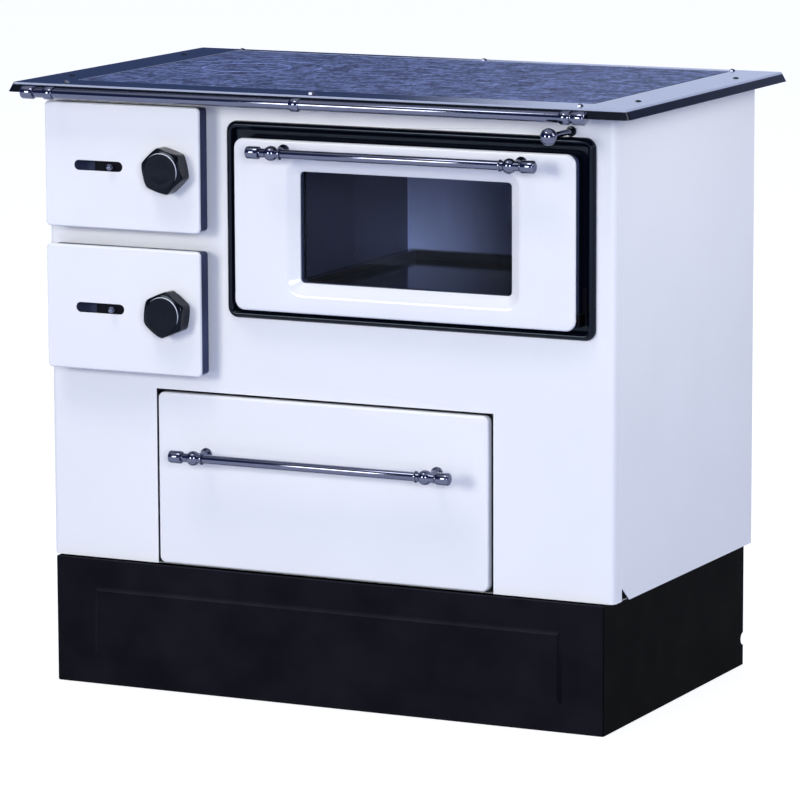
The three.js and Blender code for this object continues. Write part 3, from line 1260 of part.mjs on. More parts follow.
// Hinge bracket in the channel beside the door: plate, arm forward and a pin into the door's side.
function ovenHinge(side) {
  const doorSide = ovenDoorWidth / 2 - DOOR_FRAME_INSET;
  const plateOuter = surroundWidth / 2 - SURROUND_BEAD_WIDTH - 2;
  const plateInner = ovenDoorWidth / 2 + 1.2;
  const seat = surroundFloorY - SEAT_GAP;
  const span = (a, b) => [side * a, side * b].sort((p, q) => p - q);
  const plate = block(...span(plateInner, plateOuter), seat - 2, seat, ovenPivotZ - 5, ovenPivotZ + 45);
  const arm = block(
    ...span(plateInner, plateInner + 3), ovenPivotY - 5, seat - 1, ovenPivotZ - 5, ovenPivotZ + 12,
  );
  const pinStart = doorSide - DOOR_WALL;
  const pinEnd = plateInner + 1;
  const pinCentre = [(side * (pinStart + pinEnd)) / 2, ovenPivotY, ovenPivotZ];
  return join(plate, arm, rod('x', OVEN_HINGE_PIN_RADIUS, pinEnd - pinStart, pinCentre, 12));
}

const ovenDoorOutline = outlineOf(ovenDoorWidth, ovenDoorHeight, OVEN_DOOR_CORNER_RADIUS);
const windowOutline = outlineOf(
  ovenDoorWidth - 2 * WINDOW_FROM_SIDE,
  ovenDoorHeight - WINDOW_FROM_TOP - WINDOW_FROM_BOTTOM,
  WINDOW_CORNER_RADIUS,
  4,
  (WINDOW_FROM_BOTTOM - WINDOW_FROM_TOP) / 2,
);

// White cover of the oven door: rolled edge outside, dished bevel round the window.
function ovenDoorCover() {
  const outside = [...rolledEdge(COVER_ROLL), [0, COVER_DEPTH], [SHEET, COVER_DEPTH]];
  const inside = rolledEdge(COVER_ROLL - SHEET).map(([inset, y]) => [inset + SHEET, y + SHEET]).reverse();
  return loft([
    ...[...outside, ...inside].map(([inset, y]) => insetRing(ovenDoorOutline, inset, y)),
    insetRing(windowOutline, -WINDOW_BEVEL, SHEET),
    insetRing(windowOutline, -1, WINDOW_DISH + SHEET),
    insetRing(windowOutline, 0, WINDOW_DISH + SHEET),
    insetRing(windowOutline, 0, WINDOW_DISH - 0.5),
    insetRing(windowOutline, -2, WINDOW_DISH - 1.5),
    insetRing(windowOutline, -WINDOW_BEVEL + 2, 0.6),
    insetRing(windowOutline, -WINDOW_BEVEL - 1, 0),
  ], true);
}

// Black tray behind the cover, open to the window, holding the glass and the hinge bores.
function ovenDoorFrame() {
  const rim = DOOR_FRAME_INSET;
  const back = OVEN_DOOR_THICKNESS;
  const glassBack = WINDOW_DISH + SHEET + SEAT_GAP + GLASS_THICKNESS + SEAT_GAP;
  const tray = loft([
    insetRing(ovenDoorOutline, rim, COVER_DEPTH + SEAT_GAP),
    insetRing(ovenDoorOutline, rim + 2, COVER_DEPTH + SEAT_GAP),
    insetRing(ovenDoorOutline, rim + 2, SHEET + SEAT_GAP),
    insetRing(ovenDoorOutline, rim + DOOR_WALL, SHEET + SEAT_GAP),
    insetRing(ovenDoorOutline, rim + DOOR_WALL, glassBack),
    insetRing(windowOutline, 0, glassBack),
    insetRing(windowOutline, 0, back),
    insetRing(ovenDoorOutline, rim + 2, back),
    insetRing(ovenDoorOutline, rim, back - 2),
  ], true);
  const pinBore = OVEN_HINGE_PIN_RADIUS + RUNNING_GAP;
  const bore = rod('x', pinBore, ovenDoorWidth + 2, [
    0, OVEN_PIVOT_DEPTH, -ovenDoorHeight / 2 + OVEN_PIVOT_DEPTH,
  ], 12);
  return cut(tray, bore);
}

function windowGlass() {
  const front = WINDOW_DISH + SHEET + SEAT_GAP;
  return loft([
    insetRing(windowOutline, -GLASS_LAP, front),
    insetRing(windowOutline, -GLASS_LAP, front + GLASS_THICKNESS),
  ]);
}

// Inner panel that closes the oven's mouth, open behind the window.
function innerPanel() {
  const outline = outlineOf(mouthWidth - 16, mouthHeight - 30, 8, 4, mouthMiddle - ovenDoorZ + 5);
  const front = OVEN_DOOR_THICKNESS + SEAT_GAP;
  const back = front + INNER_PANEL_THICKNESS;
  return loft([
    insetRing(outline, 0, front),
    insetRing(outline, 0, back - 3),
    insetRing(outline, 3, back),
    insetRing(windowOutline, 0, back),
    insetRing(windowOutline, 0, front),
  ], true);
}

function addOven(stove) {
  const oven = groupAt(stove, ovenCentreX, 0, 0);
  place(oven, 'oven_surround', ovenSurround(), BLACK_ENAMEL);
  place(oven, 'oven_box', ovenBox(), BLACK_ENAMEL);
  const trayBackY = ovenBackY - OVEN_WALL - TRAY_REAR_CLEARANCE;
  const trayDepth = trayBackY - BODY_FRONT_Y - TRAY_FROM_PANEL;
  const trayY = trayBackY - trayDepth / 2;
  place(oven, 'oven_tray', ovenTray(trayDepth), BLACK_ENAMEL, [0, trayY, mouthBottom + SEAT_GAP]);
  place(oven, 'oven_hinge_left', ovenHinge(-1), BLACK_PAINT);
  place(oven, 'oven_hinge_right', ovenHinge(1), BLACK_PAINT);
  const door = groupAt(oven, 0, ovenDoorFaceY, ovenDoorZ);
  place(door, 'oven_door_cover', ovenDoorCover(), WHITE_ENAMEL);
  place(door, 'oven_door_frame', ovenDoorFrame(), SLATE_PAINT);
  place(door, 'oven_door_glass', windowGlass(), OVEN_GLASS);
  place(door, 'oven_door_inner_panel', innerPanel(), BLACK_ENAMEL);
  addHandle(door, 'oven', 0, 0, ovenDoorHeight / 2 - OVEN_HANDLE_FROM_TOP);
}

// ---------------------------------------------------------------- damper and flue

function damperNeck() {
  return DAMPER_ROD_RADIUS + RUNNING_GAP + 1.2;
}

function damperBush() {
  const bore = DAMPER_ROD_RADIUS + RUNNING_GAP;
  return turned('y', [
    [bore, 6], [damperNeck(), 6], [damperNeck(), -SEAT_GAP], [DAMPER_BUSH_RADIUS, -SEAT_GAP],
    [DAMPER_BUSH_RADIUS, -3], [DAMPER_BUSH_RADIUS - 1, -5], [bore, -5], [bore, 6],
  ], 12);
}

// Pull rod with its ball outside and the by-pass flap inside.
function damperRod() {
  const ballCentre = -DAMPER_PROJECTION;
  const flapFront = flueBoxFrontY - BODY_FRONT_Y - DAMPER_TRAVEL - 4;
  const stemEnd = 90 - THREE.MathUtils.radToDeg(Math.asin(DAMPER_ROD_RADIUS / DAMPER_BALL_RADIUS));
  const stem = turned('y', [
    ...ballStations(DAMPER_BALL_RADIUS, ballCentre, -90, stemEnd, 8),
    [DAMPER_ROD_RADIUS, flapFront + 1], [0, flapFront + 1],
  ], 14);
  const half = DAMPER_FLAP_WIDTH / 2;
  const tall = DAMPER_FLAP_HEIGHT / 2;
  return join(stem, block(-half, half, flapFront, flapFront + 3, -tall, tall));
}

// Sheet duct between the oven's back and the rear panel: low inlet, by-pass port and flue hole.
function flueBox() {
  const top = bodyTop - SHEET - SEAT_GAP;
  const bottom = shelfTop + SEAT_GAP;
  const [x0, x1] = [flueBoxRightX - FLUE_BOX_WIDTH, flueBoxRightX];
  const shell = block(x0, x1, flueBoxFrontY, flueBoxBackY, bottom, top);
  const hollow = block(
    x0 + SHEET, x1 - SHEET, flueBoxFrontY + SHEET, flueBoxBackY - SHEET, bottom + SHEET, top - SHEET,
  );
  const frontCut = (a, b, low, high) => block(a, b, flueBoxFrontY - 1, flueBoxFrontY + 5, low, high);
  const portHalf = DAMPER_FLAP_WIDTH / 2 - 6;
  const portTall = DAMPER_FLAP_HEIGHT / 2 - 6;
  const port = frontCut(damperX - portHalf, damperX + portHalf, damperZ - portTall, damperZ + portTall);
  const inlet = frontCut(x0 + 20, x1 - 20, bottom + 20, mouthBottom - 30);
  const outlet = rod('y', FLUE_RADIUS - FLUE_WALL, 30, [flueX, flueBoxBackY, flueZ], FLUE_SIDES);
  return cut(shell, hollow, port, inlet, outlet);
}

// Cast flue spigot with its fixing flange against the rear panel.
function flueCollar() {
  const inner = FLUE_RADIUS - FLUE_WALL;
  const flangeFront = rearPanelY + SHEET + SEAT_GAP;
  const start = flueBoxBackY + SEAT_GAP;
  const end = bodyBackY + FLUE_PROJECTION;
  return turned('y', [
    [inner, start], [FLUE_RADIUS, start], [FLUE_RADIUS, flangeFront],
    [FLUE_RADIUS + FLUE_FLANGE, flangeFront],
    [FLUE_RADIUS + FLUE_FLANGE, flangeFront + FLUE_FLANGE_THICKNESS],
    [FLUE_RADIUS, flangeFront + FLUE_FLANGE_THICKNESS * 1.5],
    [FLUE_RADIUS, end], [inner, end], [inner, start],
  ], FLUE_SIDES);
}

function addFlue(stove) {
  const damper = groupAt(stove, damperX, BODY_FRONT_Y, damperZ);
  place(damper, 'damper_bush', damperBush(), BLACK_ENAMEL);
  place(damper, 'damper_rod', damperRod(), CHROME);
  place(stove, 'flue_box', flueBox(), ZINC_SHEET);
  place(stove, 'flue_collar', flueCollar(), DARK_IRON, [flueX, 0, flueZ]);
}

// ---------------------------------------------------------------- fuel drawer

function drawerFront() {
  const outline = outlineOf(drawerFaceWidth, drawerFace.z1 - drawerFace.z0, DRAWER_CORNER_RADIUS);
  return pressedCover(outline, COVER_ROLL, DRAWER_FACE_DEPTH);
}

function drawerBox() {
  const half = drawerBoxHalf;
  const height = drawerFace.z1 - DRAWER_BOX_DROP - drawerBoxBottom;
  const shell = block(-half, half, 0, drawerBoxDepth, 0, height);
  const hollow = block(
    -half + SHEET, half - SHEET, SHEET, drawerBoxDepth - SHEET, SHEET, height + 1,
  );
  return cut(shell, hollow);
}

// Angle runner on the base panel: a flat for the drawer's bottom and an upright guide beside it.
function drawerRunner(side) {
  const guide = drawerBoxHalf + RUNNER_SIDE_CLEARANCE;
  const guideInner = side * guide;
  const guideOuter = side * (guide + SHEET);
  const flatInner = side * (guide - RUNNER_WIDTH);
  const bottom = baseTop + SEAT_GAP;
  const flatTop = drawerBoxBottom - SEAT_GAP;
  const section = [
    [guideOuter, bottom], [flatInner, bottom], [flatInner, flatTop], [guideInner, flatTop],
    [guideInner, bottom + RUNNER_GUIDE_HEIGHT], [guideOuter, bottom + RUNNER_GUIDE_HEIGHT],
  ];
  const start = drawerFaceY + DRAWER_FACE_DEPTH + 4;
  return sectionAlongY(section, start, start + drawerBoxDepth);
}

function addDrawer(stove) {
  const middleZ = (drawerFace.z1 + drawerFace.z0) / 2;
  place(stove, 'drawer_front', drawerFront(), WHITE_ENAMEL, [drawerCentreX, drawerFaceY, middleZ]);
  place(stove, 'drawer_box', drawerBox(), ZINC_SHEET, [drawerCentreX, drawerBoxFrontY, drawerBoxBottom]);
  addHandle(stove, 'drawer', drawerCentreX, drawerFaceY, drawerFace.z1 - DRAWER_HANDLE_FROM_TOP);
  place(stove, 'drawer_runner_left', drawerRunner(-1), ZINC_SHEET, [drawerCentreX, 0, 0]);
  place(stove, 'drawer_runner_right', drawerRunner(1), ZINC_SHEET, [drawerCentreX, 0, 0]);
}

// ---------------------------------------------------------------- the stove

const stove = new THREE.Group();
addPlinth(stove);
addBody(stove);
addWorktop(stove);
addRail(stove);
addFirebox(stove);
addDoors(stove);
addOven(stove);
addFlue(stove);
addDrawer(stove);

export default stove;
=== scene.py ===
"""Looks of an enamelled wood cookstove: pressed white covers, black enamel trim, chromed bars.

Laid out as a Blender add-on and run as a script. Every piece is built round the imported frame.
"""

import math

import bmesh
import bpy
from mathutils import Matrix, Vector


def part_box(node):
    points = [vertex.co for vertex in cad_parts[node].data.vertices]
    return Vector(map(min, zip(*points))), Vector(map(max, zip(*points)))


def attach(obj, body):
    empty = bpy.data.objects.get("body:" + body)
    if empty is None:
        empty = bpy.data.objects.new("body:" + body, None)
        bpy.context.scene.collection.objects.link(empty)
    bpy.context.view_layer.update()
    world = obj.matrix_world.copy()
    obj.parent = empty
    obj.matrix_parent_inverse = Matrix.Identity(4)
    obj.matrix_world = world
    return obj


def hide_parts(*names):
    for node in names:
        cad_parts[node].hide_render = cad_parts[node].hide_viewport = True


bl_info = {
    "name": "Enamelled cookstove",
    "version": (1, 0, 0),
    "blender": (4, 5, 0),
    "location": "View3D > Sidebar > Cookstove",
    "description": "Builds the visible pieces, finishes and studio of a wood cookstove",
    "category": "Object",
}

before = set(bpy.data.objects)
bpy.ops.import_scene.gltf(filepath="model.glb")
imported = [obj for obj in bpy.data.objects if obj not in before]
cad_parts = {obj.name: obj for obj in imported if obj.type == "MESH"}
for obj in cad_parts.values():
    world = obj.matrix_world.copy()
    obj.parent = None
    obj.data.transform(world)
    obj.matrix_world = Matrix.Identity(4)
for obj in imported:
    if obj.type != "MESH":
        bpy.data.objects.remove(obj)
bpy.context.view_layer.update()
MM = 0.001


# ---------------------------------------------------------------- sizes and colours


def size(name, description, default):
    """A length in millimetres."""
    return bpy.props.FloatProperty(name=name, description=description, default=default, min=0.0)


def hex_colour(text):
    """An sRGB hex colour as linear red, green and blue."""
    parts = [int(text[i : i + 2], 16) / 255 for i in (1, 3, 5)]
    return tuple(c / 12.92 if c <= 0.04045 else ((c + 0.055) / 1.055) ** 2.4 for c in parts)


def colour(name, description, default):
    """A colour given as an sRGB hex value."""
    return bpy.props.FloatVectorProperty(
        name=name,
        description=description,
        default=hex_colour(default),
        subtype="COLOR",
        size=3,
        min=0.0,
        max=1.0,
    )


class StoveSizes(bpy.types.PropertyGroup):
    """Sizes of the visible forms, in millimetres."""

    cover_corner: size("Door corner", "Corner radius of the two firebox doors", 7.0)
    cover_roll: size("Rolled edge", "Radius rolled into the edge of a pressed cover", 3.0)
    sheet: size("Sheet", "Thickness of the enamelled sheet", 1.5)
    oven_corner: size("Oven door corner", "Corner radius of the oven door", 14.0)
    window_corner: size("Window corner", "Corner radius of the oven window", 6.0)
    window_bevel: size("Window bevel", "Width of the dished bevel round the window", 17.0)
    window_dish: size("Window dish", "Depth of the dished bevel", 11.0)
    drawer_corner: size("Drawer corner", "Corner radius of the drawer's face", 9.0)
    drawer_roll: size("Drawer roll", "Radius rolled into the edge of the drawer's face", 3.0)
    bead_width: size("Bead width", "Width of the rounded bead round the oven", 11.0)
    knob_across: size("Knob radius", "Radius of a knob across its corners", 33.5)
    knob_face: size("Knob face", "Radius of the flat middle of a knob's face", 25.5)
    screw_head: size("Screw head", "Radius of a fixing screw's head", 4.2)


class StoveColours(bpy.types.PropertyGroup):
    """Colours of the finishes, as sRGB."""

    white_enamel: colour("White enamel", "Vitreous enamel of the body and covers", "#E9EDF8")
    black_enamel: colour("Black enamel", "Vitreous enamel of the worktop frame and surround", "#070A16")
    # painted highlight: pale tone for the worktop's rolled edge, where a lamp's glint would lie
    painted_edge_highlight: colour("Rubbed edge", "Rolled edge of the worktop where the enamel is rubbed", "#9AA3C0")
    plinth_paint: colour("Plinth paint", "Baked paint of the plinth", "#15151C")
    slate_paint: colour("Slate paint", "Heat-proof paint of the door frames", "#3A4260")
    ground_iron: colour("Ground iron", "Ground cast iron between the streaks", "#1F2A50")
    iron_streak: colour("Iron streaks", "Bright streaks left by grinding", "#7C8ECC")
    raw_iron: colour("Raw iron", "Cast iron inside the firebox", "#26262A")
    chrome: colour("Chromium", "Chromium plate", "#62677F")
    zinc: colour("Zinc", "Galvanised sheet", "#9AA0A6")
    oven_liner: colour("Oven liner", "Enamel on the oven's walls", "#303756")
    # painted light: pale tone standing in for light on the oven's back sheet
    painted_oven_back_light: colour("Oven back", "Paler enamel on the oven's back sheet", "#A2B4F0")
    fireclay: colour("Fireclay", "Fired clay brick", "#B99A72")
    # painted highlight for the rims of the knobs' buttons
    painted_rim_highlight: colour("Worn resin", "Rim of the knobs' buttons, worn by hands", "#E0E6FA")
    resin: colour("Resin", "Phenolic resin of the knobs", "#0A0C16")
    floor: colour("Floor", "Studio floor and backdrop", "#D2D6DE")


def sizes():
    """The chosen sizes of the visible forms."""
    return bpy.context.scene.stove_sizes


def colours():
    """The chosen colours of the finishes."""
    return bpy.context.scene.stove_colours


# ---------------------------------------------------------------- finishes


def add(tree, kind, inputs=None, **settings):
    """Adds one node; each input takes another node's first output, a socket or a constant."""
    node = tree.nodes.new(kind)
    for key, value in settings.items():
        setattr(node, key, value)
    for key, value in (inputs or {}).items():
        socket = node.inputs[key]
        if isinstance(value, bpy.types.Node):
            value = value.outputs[0]
        if isinstance(value, bpy.types.NodeSocket):
            tree.links.new(value, socket)
        elif socket.type == "RGBA":
            socket.default_value = (*value, 1)
        else:
            socket.default_value = value
    return node


def blank(name):
    """An empty material, its tree, and a piece's own coordinates in metres and normals."""
    material = bpy.data.materials.new(name)
    material.use_nodes = True
    tree = material.node_tree
    tree.nodes.clear()
    return material, tree, add(tree, "ShaderNodeTexCoord").outputs


def surface(material, tree, look, polish=None, relief=None):
    """Ends a material in its shader.

    Polish is a texture and the roughness at its two ends, and relief is a height, its strength and
    its depth in metres.
    """
    if polish:
        texture, low, high = polish
        look["Roughness"] = add(tree, "ShaderNodeMapRange", {"Value": texture, "To Min": low, "To Max": high})
    if relief:
        height, strength, depth = relief
        look["Normal"] = add(tree, "ShaderNodeBump", {
            "Height": height, "Strength": strength, "Distance": depth,
        })
    shader = add(tree, "ShaderNodeBsdfPrincipled", look)
    add(tree, "ShaderNodeOutputMaterial", {"Surface": shader})
    return material


def cobalt_gloss(level):
    """Gloss of a dark coat: weak, and cooled by the cobalt that stains it."""
    return {"Specular IOR Level": level, "Specular Tint": (0.58, 0.75, 1.0)}


def per_mm(millimetres):
    """Texture scale whose features are this many millimetres across."""
    return 1000.0 / millimetres


def scaled(tint, factor):
    """A colour made darker or lighter."""
    return tuple(min(1.0, c * factor) for c in tint)


def two_tones(tree, factor, dark, light, low=0.3, high=0.7):
    """One colour below a low factor, another above a high one, blended between."""
    share = add(tree, "ShaderNodeMapRange", {"Value": factor, "From Min": low, "From Max": high})
    return add(tree, "ShaderNodeMixRGB", {"Fac": share, "Color1": dark, "Color2": light})


def where(tree, *bands):
    """A mask that is 1 where each value lies past its band: (value, where it starts, where it is full)."""
    mask = None
    for value, start, full in bands:
        share = add(tree, "ShaderNodeMapRange", {"Value": value, "From Min": start, "From Max": full})
        if mask is not None:
            share = add(tree, "ShaderNodeMath", {0: mask, 1: share}, operation="MULTIPLY")
        mask = share
    return mask


def vitreous_enamel(name, tint, roughness, gloss, painted_highlight=None):
    """Glass fused on steel at 820 C: wet gloss over a very slight orange peel.

    The highlight argument is a tone and a height in metres: faces that turn down from level above that height
    are painted in that tone, a painted highlight along the rolled edge.
    """
    material, tree, piece = blank(name)
    cloud = add(tree, "ShaderNodeTexNoise", {"Vector": piece["Object"], "Scale": per_mm(160), "Detail": 3.0})
    coat = two_tones(tree, cloud, scaled(tint, 0.965), tint)
    # painted highlight: the rolled edges just below the top are coloured pale, standing in for a lamp's glint
    # on them
    if painted_highlight:
        tone, height = painted_highlight
        spot = add(tree, "ShaderNodeSeparateXYZ", {0: piece["Object"]}).outputs
        facing = add(tree, "ShaderNodeSeparateXYZ", {0: piece["Normal"]}).outputs
        edge = where(tree, (spot["Z"], height - 0.0003, height + 0.0003), (facing["Z"], 0.99, 0.96))
        coat = add(tree, "ShaderNodeMixRGB", {"Fac": edge, "Color1": coat, "Color2": tone})
    haze = add(tree, "ShaderNodeTexNoise", {"Vector": piece["Object"], "Scale": per_mm(45), "Detail": 4.0})
    peel = add(tree, "ShaderNodeTexNoise", {"Vector": piece["Object"], "Scale": per_mm(7), "Detail": 1.0})
    wet = (haze, roughness * 0.8, roughness * 1.25)
    return surface(material, tree, {"Base Color": coat, **gloss}, wet, (peel, 0.05, 0.0006))


def baked_paint(name, tint, roughness, gloss, painted_shading_strength):
    """Stoved paint: satin and stippled, with painted light and shade that depend on which way a face turns.
    """
    material, tree, piece = blank(name)
    cloud = add(tree, "ShaderNodeTexNoise", {"Vector": piece["Object"], "Scale": per_mm(70), "Detail": 5.0})
    coat = two_tones(tree, cloud, scaled(tint, 0.8), scaled(tint, 1.35))
    # painted light and shade: faces turned up or to the left are lightened, and those turned down or to the
    # right are darkened, as if lit from the upper left
    painted_light_direction = (-0.4, 0.0, 1.0)
    facing_painted_light = add(tree, "ShaderNodeVectorMath", {0: piece["Normal"], 1: painted_light_direction}, operation="DOT_PRODUCT")
    painted_light_share = add(tree, "ShaderNodeMapRange", {
        "Value": facing_painted_light.outputs["Value"], "From Min": -0.45, "From Max": 0.45,
        "To Min": 1 - painted_shading_strength, "To Max": 1 + painted_shading_strength,
    })
    coat = add(tree, "ShaderNodeVectorMath", {0: coat, "Scale": painted_light_share}, operation="SCALE")
    # a real stipple is 0.3 mm across; 2 mm is the finest that shows here
    stipple = add(tree, "ShaderNodeTexNoise", {"Vector": piece["Object"], "Scale": per_mm(2), "Detail": 2.0})
    satin = (cloud, roughness * 0.85, roughness * 1.2)
    return surface(material, tree, {"Base Color": coat, **gloss}, satin, (stipple, 0.12, 0.0003))


def ground_cast_iron(name, tint, streak, skin, middle, half):
    """Cast iron with its top ground flat: mottled and blued in the fire, black where it isn't ground, that
    black being partly painted shade, with a painted highlight on the rings' chamfers.

    Middle and half give the middle and the half width of the cooking surface in metres.
    """
    material, tree, piece = blank(name)
    # grit marks 4 mm wide, drawn out to 12 mm so that they last to the eye across the low view
    drawn = add(tree, "ShaderNodeMapping", {"Vector": piece["Object"], "Scale": (1.0, 0.33, 1.0)})
    grain = add(tree, "ShaderNodeTexNoise", {
        "Vector": drawn, "Scale": per_mm(4), "Detail": 4.0, "Roughness": 0.6,
    })
    swept = add(tree, "ShaderNodeMapping", {"Vector": piece["Object"], "Scale": (0.45, 1.0, 1.0)})
    streaks = add(tree, "ShaderNodeTexNoise", {
        "Vector": swept, "Scale": per_mm(16), "Detail": 6.0, "Roughness": 0.65,
    })
    marks = add(tree, "ShaderNodeMath", {0: grain, 1: streaks}, operation="MULTIPLY")
    ground = two_tones(tree, marks, tint, streak, 0.19, 0.34)
    level = add(tree, "ShaderNodeSeparateXYZ", {0: piece["Normal"]}).outputs["Z"]
    across = add(tree, "ShaderNodeSeparateXYZ", {0: piece["Object"]}).outputs["X"]
    off_middle = add(tree, "ShaderNodeMath", {0: across, 1: middle}, operation="SUBTRACT")
    reach = add(tree, "ShaderNodeMath", {0: off_middle}, operation="ABSOLUTE")
    # only level faces are ground, and the grinding stops 3 mm short of both ends; the black left there is
    # partly the cast skin and partly painted shade, for the dark gap at the frame and the rings' grooves
    face = where(tree, (level, 0.9, 0.98), (reach, half - 0.0028, half - 0.0038))
    iron = add(tree, "ShaderNodeMixRGB", {"Fac": face, "Color1": skin, "Color2": ground})
    # painted highlight: the rings' chamfered edges are painted bright, standing in for glints on them
    broken = where(tree, (level, 0.45, 0.55), (level, 0.93, 0.88))
    iron = add(tree, "ShaderNodeMixRGB", {"Fac": broken, "Color1": iron, "Color2": scaled(streak, 1.2)})
    look = {"Base Color": iron, "Metallic": 0.35}
    return surface(material, tree, look, (grain, 0.35, 0.6), (grain, 0.6, 0.0006))


def raw_casting(name, tint):
    """Sand-cast iron left raw: matt and pebbled."""
    material, tree, piece = blank(name)
    grit = add(tree, "ShaderNodeTexNoise", {"Vector": piece["Object"], "Scale": per_mm(3), "Detail": 4.0})
    skin = two_tones(tree, grit, scaled(tint, 0.7), scaled(tint, 1.5))
    look = {"Base Color": skin, "Roughness": 0.72, "Metallic": 0.4}
    return surface(material, tree, look, relief=(grit, 0.4, 0.0005))


def bright_plate(name, tint):
    """Chromium over turned metal: a mirror with faint polishing haze."""
    material, tree, piece = blank(name)
    haze = add(tree, "ShaderNodeTexNoise", {"Vector": piece["Object"], "Scale": per_mm(30), "Detail": 3.0})
    plate = two_tones(tree, haze, scaled(tint, 0.93), tint)
    return surface(material, tree, {"Base Color": plate, "Metallic": 1.0}, (haze, 0.05, 0.12))


def rolled_zinc(name, tint):
    """Galvanised sheet: grey spangle some 12 mm across over a dull metal."""
    material, tree, piece = blank(name)
    spangle = add(tree, "ShaderNodeTexVoronoi", {"Vector": piece["Object"], "Scale": per_mm(12)})
    zinc = two_tones(tree, spangle.outputs["Color"], scaled(tint, 0.85), scaled(tint, 1.1), 0.0, 1.0)
    return surface(material, tree, {"Base Color": zinc, "Roughness": 0.45, "Metallic": 0.9})


def liner_enamel(name, tint, back, back_face, gloss):
    """Ground-coat enamel on an oven liner: dark where it drained, with painted light on the back sheet."""
    material, tree, piece = blank(name)
    drained = add(tree, "ShaderNodeMapping", {"Vector": piece["Object"], "Scale": (1.0, 1.0, 0.25)})
    runs = add(tree, "ShaderNodeTexNoise", {"Vector": drained, "Scale": per_mm(60), "Detail": 5.0})
    walls = two_tones(tree, runs, scaled(tint, 0.8), scaled(tint, 1.2))
    # painted light: the back sheet is drawn pale, standing in for light that falls on it through the window
    sheet = two_tones(tree, runs, scaled(back, 0.85), scaled(back, 1.15))
    spot = add(tree, "ShaderNodeSeparateXYZ", {0: piece["Object"]}).outputs
    # painted shade: the painted light on the back sheet fades out from its middle toward the right
    painted_falloff = where(tree, (spot["X"], 0.0, 0.26))
    sheet = add(tree, "ShaderNodeMixRGB", {"Fac": painted_falloff, "Color1": sheet, "Color2": scaled(back, 0.28)})
    rear = where(tree, (spot["Y"], back_face - 0.003, back_face - 0.001))
    coat = add(tree, "ShaderNodeMixRGB", {"Fac": rear, "Color1": walls, "Color2": sheet})
    return surface(material, tree, {"Base Color": coat, **gloss}, (runs, 0.27, 0.31))


def fired_brick(name, tint):
    """Fireclay: sandy, pitted, slightly uneven in tone."""
    material, tree, piece = blank(name)
    sand = add(tree, "ShaderNodeTexNoise", {"Vector": piece["Object"], "Scale": per_mm(4), "Detail": 6.0})
    clay = two_tones(tree, sand, scaled(tint, 0.6), scaled(tint, 1.15))
    look = {"Base Color": clay, "Roughness": 0.92}
    return surface(material, tree, look, relief=(sand, 0.5, 0.0008))


def moulded_resin(name, tint, rim_highlight_tone, face, gloss):
    """Phenolic moulding, polished in the tool: black and wet-looking, with a painted highlight on the
    button's rim.

    Face is where the knobs' faces lie along Y, in metres.
    """
    material, tree, piece = blank(name)
    flow = add(tree, "ShaderNodeTexNoise", {"Vector": piece["Object"], "Scale": per_mm(14), "Detail": 2.0})
    resin = two_tones(tree, flow, scaled(tint, 0.8), scaled(tint, 1.3))
    # painted highlight: the rim of the knob's button is painted pale above and on the right, where a lamp's
    # glint would fall
    spot = add(tree, "ShaderNodeSeparateXYZ", {0: piece["Object"]}).outputs
    tilt = add(tree, "ShaderNodeSeparateXYZ", {0: piece["Normal"]}).outputs["Y"]
    painted_light_side = (0.55, 0.0, 0.83)
    facing_painted_light = add(tree, "ShaderNodeVectorMath", {0: piece["Normal"], 1: painted_light_side}, operation="DOT_PRODUCT")
    rim = where(tree, (spot["Y"], face + 0.0015, face + 0.0012), (tilt, -0.96, -0.86),
                (facing_painted_light.outputs["Value"], 0.1, 0.4))
    resin = add(tree, "ShaderNodeMixRGB", {"Fac": rim, "Color1": resin, "Color2": rim_highlight_tone})
    return surface(material, tree, {"Base Color": resin, **gloss}, (flow, 0.07, 0.14))


def float_glass(name):
    """Toughened glass, 4 mm, wiped clean: only a faint sheen of the room stays on it."""
    material, tree, piece = blank(name)
    film = add(tree, "ShaderNodeTexNoise", {"Vector": piece["Object"], "Scale": per_mm(120), "Detail": 2.0})
    wiped = add(tree, "ShaderNodeMapRange", {"Value": film, "To Min": 0.0, "To Max": 0.02})
    glass = add(tree, "ShaderNodeBsdfPrincipled", {
        "Base Color": (0.93, 0.95, 0.98), "Roughness": wiped, "Transmission Weight": 1.0, "IOR": 1.5,
    })
    # a lamp's light goes straight through such thin clear glass, with no caustics to wait for
    rays = add(tree, "ShaderNodeLightPath").outputs
    passing = add(tree, "ShaderNodeMath", {0: rays["Is Shadow Ray"], 1: rays["Is Diffuse Ray"]},
                  operation="MAXIMUM")
    share = add(tree, "ShaderNodeMath", {0: passing, 1: 0.95}, operation="MAXIMUM")
    clear = add(tree, "ShaderNodeBsdfTransparent")
    mixed = add(tree, "ShaderNodeMixShader", {0: share, 1: glass, 2: clear})
    add(tree, "ShaderNodeOutputMaterial", {"Surface": mixed})
    return material


FINISHES = {}


